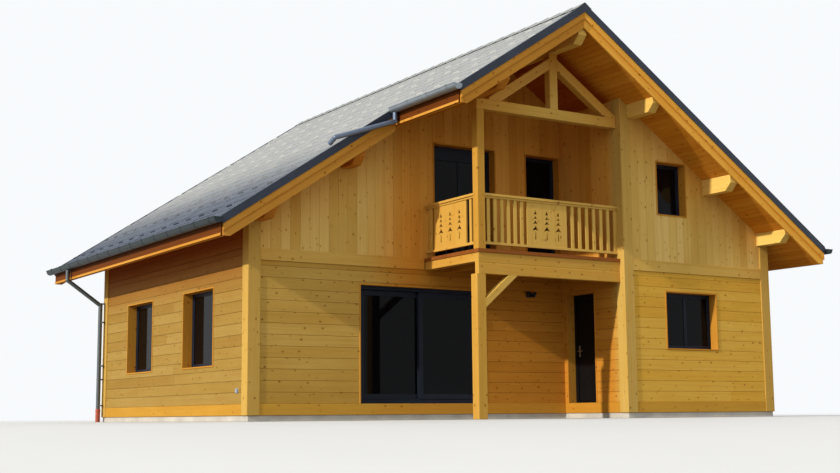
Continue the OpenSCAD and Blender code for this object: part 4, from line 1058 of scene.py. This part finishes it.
def raised_slab(node):
    """The slab with its lower face lifted, to make room for the lining boards."""
    clean = joined(node)
    for corner in clean.verts:
        if abs(corner.co.z - soffit(corner.co.x)) < 0.003:
            corner.co.z += SOFFIT_BOARD * plumb
        elif corner.co.z < roof_z(corner.co.x, TILE_DROP) - 0.1:
            corner.co.z += SOFFIT_BOARD
    finish_mesh(node + "_core", clean, core, [node])


print("roof slopes:", len(SLOPES))

# %% Boards under the slopes
def lining_boards(name, side, y0, y1, x0, x1):
    """Lining boards under one slab, between the plumb lines x0 and x1 from the ridge."""
    matrix, sense = slope_frame(side, SOFFIT_DROP)
    first, last = sorted((sense * y0, sense * y1))
    points, number, reach = [], 0, x1 * plumb
    while reach > x0 * plumb + 0.02:
        number += 1
        width = (min(LINING_PITCH, reach - x0 * plumb) - 2 * LINING_GAP) / LINING_PITCH
        for start, end in lengths(first, last, 2.8, 5.0):
            number += 1
            points.append(((start, -reach + LINING_GAP, 0), (end - start - LINING_GAP, width, 1), number))
        reach -= LINING_PITCH
    mesh = lay_boards(points, LINING_PITCH, SOFFIT_BOARD, 0.006, 8, soffit_wood)
    for corner in mesh.vertices:
        corner.co.z += SOFFIT_BOARD if corner.co.z < 0 else 0
    mesh.transform(matrix)
    place_mesh(name, mesh)


def eave_board(name, side, y0, y1, x0, x1, level):
    """The flat board that closes the level cut along one eave."""
    points = [((y, 0, 0), (end - y - LINING_GAP, 1, 1), number)
              for number, (y, end) in enumerate(lengths(y0, y1, 2.8, 4.6), 1)]
    mesh = lay_boards(points, x1 - x0, SOFFIT_BOARD / 2, 0.003, 9, soffit_wood)
    mesh.transform(placed(NORTH, WEST * side, UP, (side * x1, 0, level + SOFFIT_BOARD / 2)))
    if side < 0:
        mesh.flip_normals()
    place_mesh(name, mesh)


print("lining boards every", LINING_PITCH, "m")

# %% Line the roof
for part, side in SLOPES:
    node = "roof_" + part
    raised_slab(node)
    lowest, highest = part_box(node)
    nose_x = (ridge_z - SOFFIT_DROP - lowest.z) / slope
    y0, y1 = lowest.y + LINING_GAP, highest.y - LINING_GAP
    lining_boards(node + "_lining", side, y0, y1, RIDGE_CLEAR, nose_x)
    eave_board(node + "_eave_board", side, y0, y1, nose_x, max(abs(lowest.x), abs(highest.x)), lowest.z)
print("soffit ends", round(nose_x, 3), "m from the ridge over the porch")

# %% [markdown]
# The roof is covered with flat interlocking tiles. Each one has a raised rib along its
# left side, which laps over the next tile, and a rounded nose that hides the head of the
# tile below. Alternate courses are shifted by half a tile, so every second course starts
# with a narrow one. No two tiles lie quite alike, and this is what makes a tiled roof
# glitter, so the tree tilts each one by a hair.

# %% One tile
GAUGE, COVER, TILE_LAP = 0.375, 0.300, 0.03
TILE_BODY, TILE_STEP, TILE_NOSE = 0.043, 0.012, 0.020
TILE_SECTION = ((0.001, 0.002), (0.008, 0.006), (0.026, 0.006), (0.034, 0.001), (0.10, 0.002),
                (0.20, 0.002), (0.262, 0.0), (0.299, 0.0))
TILE_ROWS = ((0.004, TILE_NOSE), (0.0, 0.012), (0.003, 0.003), (0.012, 0.0), (GAUGE + TILE_LAP, 0.0))
TONGUE, TONGUE_OUT, TILE_BACK = (0.09, 0.21), 0.006, (0.002, 0.298)


def tile_mesh():
    """One tile, from its nose at Y = 0 up the slope, with a rib along its left side."""
    tile = bmesh.new()
    nose_z, fall = TILE_BODY + TILE_STEP, TILE_STEP / GAUGE
    rows = [[tile.verts.new((x, y - (TONGUE_OUT if TONGUE[0] < x < TONGUE[1] and y < 0.02 else 0.0),
                             nose_z + (rise if sink < TILE_NOSE else 0) - sink - fall * y))
             for x, rise in TILE_SECTION] for y, sink in TILE_ROWS]
    for first, second in zip(rows, rows[1:]):
        for a, b, c, d in zip(first, first[1:], second[1:], second):
            tile.faces.new((a, b, c, d))
    back = [tile.verts.new((x, GAUGE + TILE_LAP, nose_z - TILE_NOSE - fall * GAUGE)) for x in TILE_BACK]
    tile.faces.new([row[0] for row in rows] + [back[0]])
    tile.faces.new([row[-1] for row in reversed(rows)] + [back[1]])
    tile.faces.new([rows[0][0], *back, *rows[0][:0:-1]])
    tile.faces.new([back[0]] + rows[-1] + [back[1]])
    bmesh.ops.recalc_face_normals(tile, faces=tile.faces)
    mesh = bpy.data.meshes.new("tile")
    tile.to_mesh(mesh)
    tile.free()
    return mesh


tile_object = bpy.data.objects.new("tile_pattern", tile_mesh())
print("one tile:", len(tile_object.data.polygons), "faces")

# %% Courses of tiles
NOSE_OVER, TILE_SHORT, RIDGE_ROOM = 0.028, 0.2, 0.05


def piece_tree(name, tilt):
    """A tree that repeats one small object, each time tilted by a hair."""
    tree = Laying(name, {"Tile": "Object"})
    template = tree.node("GeometryNodeObjectInfo", {"transform_space": "ORIGINAL"},
                         {"Object": tree.given["Tile"]}, out=4)
    return tree.lay(template, tilt)


tiles = piece_tree("interlocking_tiles", 0.0022)


def eave_reach(node):
    """Distance along the slope from the ridge to the nose of the lowest course."""
    return (max(abs(corner.x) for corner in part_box(node)) + NOSE_OVER) * plumb


def tile_slope(node, side):
    """Courses of tiles from the eave line up to the ridge."""
    matrix, sense = slope_frame(side, TILE_DROP)
    first, last = sorted((sense * low(node).y, sense * high(node).y))
    points = []
    for course in range(int(eave_reach(node) / GAUGE) + 1):
        start = -eave_reach(node) + course * GAUGE
        length = min(1.0, (-start - RIDGE_ROOM) / (GAUGE + TILE_LAP))
        if length < TILE_SHORT:
            continue
        left, cover = first, COVER / 2 if course % 2 else COVER
        while left < last - 0.03:
            width = min(cover, last - left)
            points.append(((left, start, 0), (width / COVER, length, 1), len(points) + 1))
            left += width
            cover = COVER
    mesh = run(tiles, points, {"Tile": tile_object, "Seed": 21, "Material": tile_slate})
    mesh.transform(matrix)
    place_mesh(node + "_laid", mesh, [node])
    return len(points)


print("tiles laid:", sum(tile_slope("tiles_" + part, side) for part, side in SLOPES))
bpy.data.objects.remove(tile_object)

# %% [markdown]
# A planed lath along the foot of each fascia closes the joint to the soffit. It stands
# a little proud, clear of the gutter's shadow, and shows as a bright line under the eave.
# There are only a few of them, so plain blocks with a bevel will do.

# %% Eave laths
LATH_HIGH, LATH_PROUD, LATH_EDGE = 0.046, 0.008, 0.002


def block(clean, middle, size, edge, steps=1):
    """A small board or plate with broken edges."""
    made = bmesh.ops.create_cube(clean, size=1.0,
                                 matrix=Matrix.Translation(middle) @ Matrix.Diagonal((*size, 1)))
    edges = list({e for v in made["verts"] for e in v.link_edges})
    bmesh.ops.bevel(clean, geom=edges, offset=edge, segments=steps, affect="EDGES")


laths = bmesh.new()
for lowest, highest in solid_boxes("fascias"):
    outer = max(lowest.x, highest.x, key=abs)
    side = 1 if outer > 0 else -1
    for y, end in lengths(lowest.y, highest.y, 3.0, 4.4):
        block(laths, (outer + side * LATH_PROUD / 2, (y + end) / 2, lowest.z + 0.001 + LATH_HIGH / 2),
              (LATH_PROUD, end - y - 0.001, LATH_HIGH), LATH_EDGE)
write_grain(laths, runs_long)
print("lath corners:", len(laths.verts))
finish_mesh("eave_laths", laths, trim_wood)

# %% [markdown]
# Snow must not slide off such a roof in one sheet, so every second tile of every second
# course carries a small stop. Its hump is one closed section, carried from one end to the
# other and made low at both. The same kind of tree that lays the tiles lays the stops,
# without the tilt.

# %% A section carried along
def band(name, section, places, lie):
    """A closed section repeated at several places. lie says where a section point goes."""
    width, rows = len(section), len(places)
    faces = [(r * width + i, r * width + (i + 1) % width,
              (r + 1) * width + (i + 1) % width, (r + 1) * width + i)
             for r in range(rows - 1) for i in range(width)]
    faces += [tuple(reversed(range(width))), tuple((rows - 1) * width + i for i in range(width))]
    mesh = bpy.data.meshes.new(name)
    mesh.from_pydata([lie(point, place) for place in places for point in section], [], faces)
    turned = bmesh.new()
    turned.from_mesh(mesh)
    bmesh.ops.recalc_face_normals(turned, faces=turned.faces)
    turned.to_mesh(mesh)
    turned.free()
    return bpy.data.objects.new(name, mesh)


fixings = piece_tree("fixings", 0.0)
print("tree for fixings:", len(fixings.group.nodes), "nodes")

# %% Snow stops
STOP_EVERY, STOP_ROWS, STOP_UP, STOP_FREE = 0.60, 2, 0.17, 0.3
STOP_FOOT, STOP_ENDS, END_SHARE = -0.004, (-0.100, -0.085, 0.085, 0.100), 0.35
HUMP = [(0.0, STOP_FOOT), (0.003, 0.018), (0.010, 0.026), (0.020, 0.025), (0.034, 0.006),
        (0.038, STOP_FOOT)]
stop = band("stop_pattern", HUMP, STOP_ENDS, lambda p, x: (
    x, p[0], STOP_FOOT + (p[1] - STOP_FOOT) * (END_SHARE if abs(x) == STOP_ENDS[-1] else 1.0)))


def lay_stops(node, side):
    """Rows of stops over one slope, shifted by one tile from row to row."""
    matrix, sense = slope_frame(side, TILE_DROP)
    first, last = sorted((sense * low(node).y, sense * high(node).y))
    surface = TILE_BODY + TILE_STEP * (1 - STOP_UP / GAUGE)
    points = []
    for row in range(int(eave_reach(node) / GAUGE / STOP_ROWS)):
        up = -eave_reach(node) + (row * STOP_ROWS + 1) * GAUGE + STOP_UP
        along = first + STOP_EVERY * (0.75 if row % 2 else 0.25)
        while along < last - 0.1 and up < -STOP_FREE:
            points.append(((along, up, surface), (1, 1, 1), len(points)))
            along += STOP_EVERY
    mesh = run(fixings, points, {"Tile": stop, "Seed": 3, "Material": stop_slate})
    mesh.transform(matrix)
    place_mesh(node + "_stops", mesh)
    return len(points)


print("snow stops:", sum(lay_stops("tiles_" + part, side) for part, side in SLOPES))
bpy.data.objects.remove(stop)

# %% [markdown]
# The ridge is closed by angled tiles that lap like the courses below them. Their section
# follows the pitch of the roof, and each one is a hair higher at the end that covers its
# neighbour.

# %% Ridge tiles
RIDGE_COVER, RIDGE_LAP = 0.36, 0.03
RIDGE_WING, RIDGE_LIFT, RIDGE_THICK = 0.150, 0.018, 0.012
CAP_ROUND, CAP_RISE, CAP_CROWN, CAP_LIP = 0.03, 0.004, 0.002, 0.004
CAP_PLACES = {0.0: 0.003, 0.004: 0.006, RIDGE_COVER + RIDGE_LAP: -0.007}
wing, shoulder = -slope * RIDGE_WING + RIDGE_LIFT, CAP_RISE - slope * CAP_ROUND + RIDGE_LIFT
section = [(-RIDGE_WING, wing), (-CAP_ROUND, shoulder), (0.0, RIDGE_LIFT + CAP_CROWN),
           (CAP_ROUND, shoulder), (RIDGE_WING, wing)]
under = [(x, z - RIDGE_THICK - (CAP_LIP if abs(x) == RIDGE_WING else 0)) for x, z in reversed(section)]
cap = band("cap_pattern", section + under, list(CAP_PLACES), lambda p, y: (p[0], y, p[1] + CAP_PLACES[y]))
points, y, last = [], low("ridge_cap").y, high("ridge_cap").y
while y < last - 0.02:
    points.append(((0, y, ridge_z), (1, min(RIDGE_COVER, last - y) / RIDGE_COVER, 1), len(points)))
    y += RIDGE_COVER
caps = run(fixings, points, {"Tile": cap, "Seed": 12, "Material": tile_slate})
place_mesh("ridge_tiles", caps, ["ridge_cap"])
bpy.data.objects.remove(cap)
print("ridge tiles:", len(points))

# %% [markdown]
# A gutter is a thin sheet, stiffened by a bead rolled along its outer rim and carried by
# flat straps. Both take their place and width from the gutters that the frame brings, so
# one loop serves the long gutters and the short one.

# %% Beads and straps of the gutters
STRAP_EVERY, STRAP_WIDE, STRAP_THICK = 0.62, 0.030, 0.004
STRAP_START, STRAP_TURNS, STRAP_CLEAR = 0.25, 12, 0.0006
BEAD = 0.009


def rod(clean, start, end, radius, sides=10):
    """A thin round bar between two points."""
    way = end - start
    turn = way.to_track_quat("Z", "Y").to_matrix().to_4x4()
    bmesh.ops.create_cone(clean, cap_ends=True, segments=sides, radius1=radius, radius2=radius,
                          depth=way.length, matrix=Matrix.Translation((start + end) / 2) @ turn)


def strap_pattern(radius, rim):
    """A flat strap round a half-round gutter, hooked over its bead."""
    turns = [math.pi + math.pi * i / STRAP_TURNS for i in range(STRAP_TURNS + 1)]
    outer = [(radius * math.cos(a), radius * math.sin(a) - rim) for a in turns]
    path = [(-radius + 0.010, BEAD), (-radius - 0.004, BEAD + 0.003), (-radius - 0.009, 0.0),
            (-radius, -rim + 0.001)] + outer[1:] + [(radius, 0.0)]
    half = STRAP_WIDE / 2
    section = [(0.0, -half), (STRAP_THICK, -half), (STRAP_THICK, half), (0.0, half)]

    def lie(point, step):
        before, after = path[max(step - 1, 0)], path[min(step + 1, len(path) - 1)]
        way = Vector((after[0] - before[0], after[1] - before[1])).normalized()
        return (path[step][0] + way.y * point[0], point[1], path[step][1] - way.x * point[0])

    return band("strap_pattern", section, range(len(path)), lie)


print("a strap every", STRAP_EVERY, "m")

# %% Hang the gutters
straps = 0
for lowest, highest in solid_boxes("gutters"):
    side = -1 if highest.x < 0 else 1
    radius = (highest.x - lowest.x) / 2
    # Sunlit zinc on the high gutter, shaded zinc on the low ones: painted light and shade.
    metal = zinc if lowest.z > GUTTER_SUNLIT else shaded_zinc
    name = "gutter_%d" % (straps + 1)
    strap = strap_pattern(radius + STRAP_CLEAR, highest.z - lowest.z - radius)
    places, y = [], lowest.y + STRAP_START
    while y < highest.y - 0.1:
        places.append(((0, y if side < 0 else -y, 0), (1, 1, 1), len(places)))
        y += STRAP_EVERY
    mesh = run(fixings, places, {"Tile": strap, "Seed": 2, "Material": metal})
    middle = Vector(((lowest.x + highest.x) / 2, 0, highest.z))
    mesh.transform(Matrix.Translation(middle) @ Matrix.Rotation(0 if side < 0 else math.pi, 4, "Z"))
    place_mesh(name + "_straps", mesh)
    bpy.data.objects.remove(strap)
    straps += len(places)
    bead = bmesh.new()
    edge = Vector((lowest.x if side < 0 else highest.x, 0, highest.z - 0.003))
    rod(bead, edge + NORTH * lowest.y, edge + NORTH * highest.y, BEAD)
    finish_mesh(name + "_bead", bead, metal)
print("straps:", straps)

# %% [markdown]
# Rings hold the downpipes to the wall, and a drip edge runs along the foot of each verge
# trim. Short and long round bars are all that either needs.

# %% Rings of the downpipes and drip edges
PIPE_R, RING_HIGH, RING_THICK, DRIP = 0.055, 0.028, 0.005, 0.006
RING_HEIGHTS = (0.34, 1.20, 2.15)
collars = bmesh.new()
for side in (-1, 1):
    for height in RING_HEIGHTS:
        ring = Vector((side * (half_w + PIPE_R), high("downpipes").y - PIPE_R, height))
        rod(collars, ring, ring + UP * RING_HIGH, PIPE_R + RING_THICK, 24)
finish_mesh("pipe_collars", collars, zinc_pipe)

drips = bmesh.new()
for node in ("verge_trim_left", "verge_trim_right"):
    for lowest, highest in solid_boxes(node):
        outer = lowest.y if lowest.y + highest.y < 0 else highest.y
        ends = [Vector((x, outer, roof_z(x, VERGE_DEEP))) for x in (lowest.x, highest.x)]
        rod(drips, *ends, DRIP, 8)
finish_mesh("verge_drip_edges", drips, dark_metal)
print("rings:", 2 * len(RING_HEIGHTS))

# %% [markdown]
# A small weatherproof socket sits low on the left wall. It is a plate with a lid, the
# lid's hinge above and its catch below, each a block with rounded edges.

# %% Wall socket
SOCKET = (-half_w + POST_PROUD, -3.27, 0.526)
SOCKET_PARTS = (
    ((-0.006, 0, 0), (0.012, 0.086, 0.086), 0.003), ((-0.018, 0, -0.003), (0.014, 0.066, 0.062), 0.005),
    ((-0.018, 0, 0.033), (0.010, 0.060, 0.008), 0.002), ((-0.026, 0, -0.030), (0.006, 0.022, 0.006), 0.0015))
socket = bmesh.new()
for offset, size, edge in SOCKET_PARTS:
    block(socket, [a + b for a, b in zip(SOCKET, offset)], size, edge, 2)
finish_mesh("wall_socket", socket, socket_grey)
print("socket parts:", len(SOCKET_PARTS))

# %% [markdown]
# The balcony floor is laid with planks along the front, with a narrow gap between them
# for the rain. Their edges show over the beams, and their undersides between the joists.
# The tree that lays the boards of the walls lays them too, only thicker.

# %% Balcony planks
PLANK, PLANK_GAP = 0.145, 0.006
lowest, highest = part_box("balcony_deck")
points, y = [], lowest.y
while y < highest.y - 0.02:
    width = (min(PLANK, highest.y - y) - PLANK_GAP) / PLANK
    points.append(((lowest.x, y, lowest.z), (highest.x - lowest.x, width, 1), len(points) + 1))
    y += PLANK
planks = lay_boards(points, PLANK, highest.z - lowest.z, 0.004, 4, deck_wood)
place_mesh("balcony_planks", planks, ["balcony_deck"])
print("planks:", len(points))

# %% [markdown]
# The floor of the studio is pale and level under the house, and it falls away towards the
# camera, as the ground there does. The camera then stands at eye height over it. On a
# flat floor it would lie on the ground.

# %% Floor
FLOOR_NEAR, FLOOR_FALL, FLOOR_LOW, FLOOR_UNDER = 8.0, 20.0, -1.65, 0.003
TOWARDS = Vector((-0.53, -0.85))
STEPS, HALF = 60, 90.0
CAMERA_RAY, GLOSSY_RAY, CLEAR_RAY = 0, 3, 6


def floor_height(x, y):
    """Level round the house, falling smoothly towards the camera."""
    reach = (x * TOWARDS.x + y * TOWARDS.y - FLOOR_NEAR) / FLOOR_FALL
    share = min(max(reach, 0.0), 1.0)
    return FLOOR_LOW * share * share * (3 - 2 * share) - FLOOR_UNDER


def is_seen(shade):
    """1 for the rays that show the background: to the camera, in reflections, through glass."""
    first, second, third = [shade.node("LightPath", out=ray) for ray in (CAMERA_RAY, GLOSSY_RAY, CLEAR_RAY)]
    return shade.between(first + second + third, 0.0, 1.0, False)


def stage_finish():
    """Pale where it is seen, a plain dark ground for the light it returns."""
    shade = Shader("stage_floor")
    pale = shade.mix(shade.noise(shade.place(), 0.4, 2.0), (198, 198, 196), (203, 203, 201))
    return shade.finish({"Base Color": shade.mix(is_seen(shade), (118, 112, 96), pale),
                         "Roughness": 0.9, "Specular IOR Level": 0.1})


ticks = [HALF * (2 * i / STEPS - 1) for i in range(STEPS + 1)]
wide = STEPS + 1
corners = [j * wide + i for j in range(STEPS) for i in range(STEPS)]
stage_mesh = bpy.data.meshes.new("stage_floor")
stage_mesh.from_pydata([(x, y, floor_height(x, y)) for y in ticks for x in ticks], [],
                       [(n, n + 1, n + 1 + wide, n + wide) for n in corners])
stage_mesh.shade_smooth()
coat(stage_mesh, stage_finish())
show("stage_floor", stage_mesh)
print("floor falls to", FLOOR_LOW)

# %% [markdown]
# A low sun from the left lights the left faces of the posts, as in the picture, and a
# plain sky fills the rest. The sky is two colours in one, the one that is seen and the
# one that gives the light.

# %% Sun and sky
SUN_FROM, SUN_RISE = Vector((-1.0, -0.14, 0.0)).normalized(), math.radians(26.3)
SUN_POWER, SUN_SIZE, SUN_COLOR = 3.8, math.radians(1.2), (1.0, 0.95, 0.86)
FILL, BACKDROP = (0.92, 0.95, 1.0, 1.0), (0.94, 0.96, 0.98, 1.0)

sun = show("sun", bpy.data.lights.new("sun", "SUN"))
sun.data.energy, sun.data.angle, sun.data.color = SUN_POWER, SUN_SIZE, SUN_COLOR
towards_sun = SUN_FROM * math.cos(SUN_RISE) + UP * math.sin(SUN_RISE)
sun.rotation_mode = "QUATERNION"
sun.rotation_quaternion = towards_sun.to_track_quat("Z", "Y")

sky = bpy.data.worlds.new("sky")
bpy.context.scene.world = sky
shade = Shader("sky", sky)
fill, backdrop = [shade.node("Background", {}, {"Color": color, "Strength": 1.0})
                  for color in (FILL, BACKDROP)]
shade.end(shade.node("MixShader", {}, {0: is_seen(shade), 1: fill, 2: backdrop}))
bpy.context.scene.view_settings.view_transform = "Standard"
print("light and sky set")
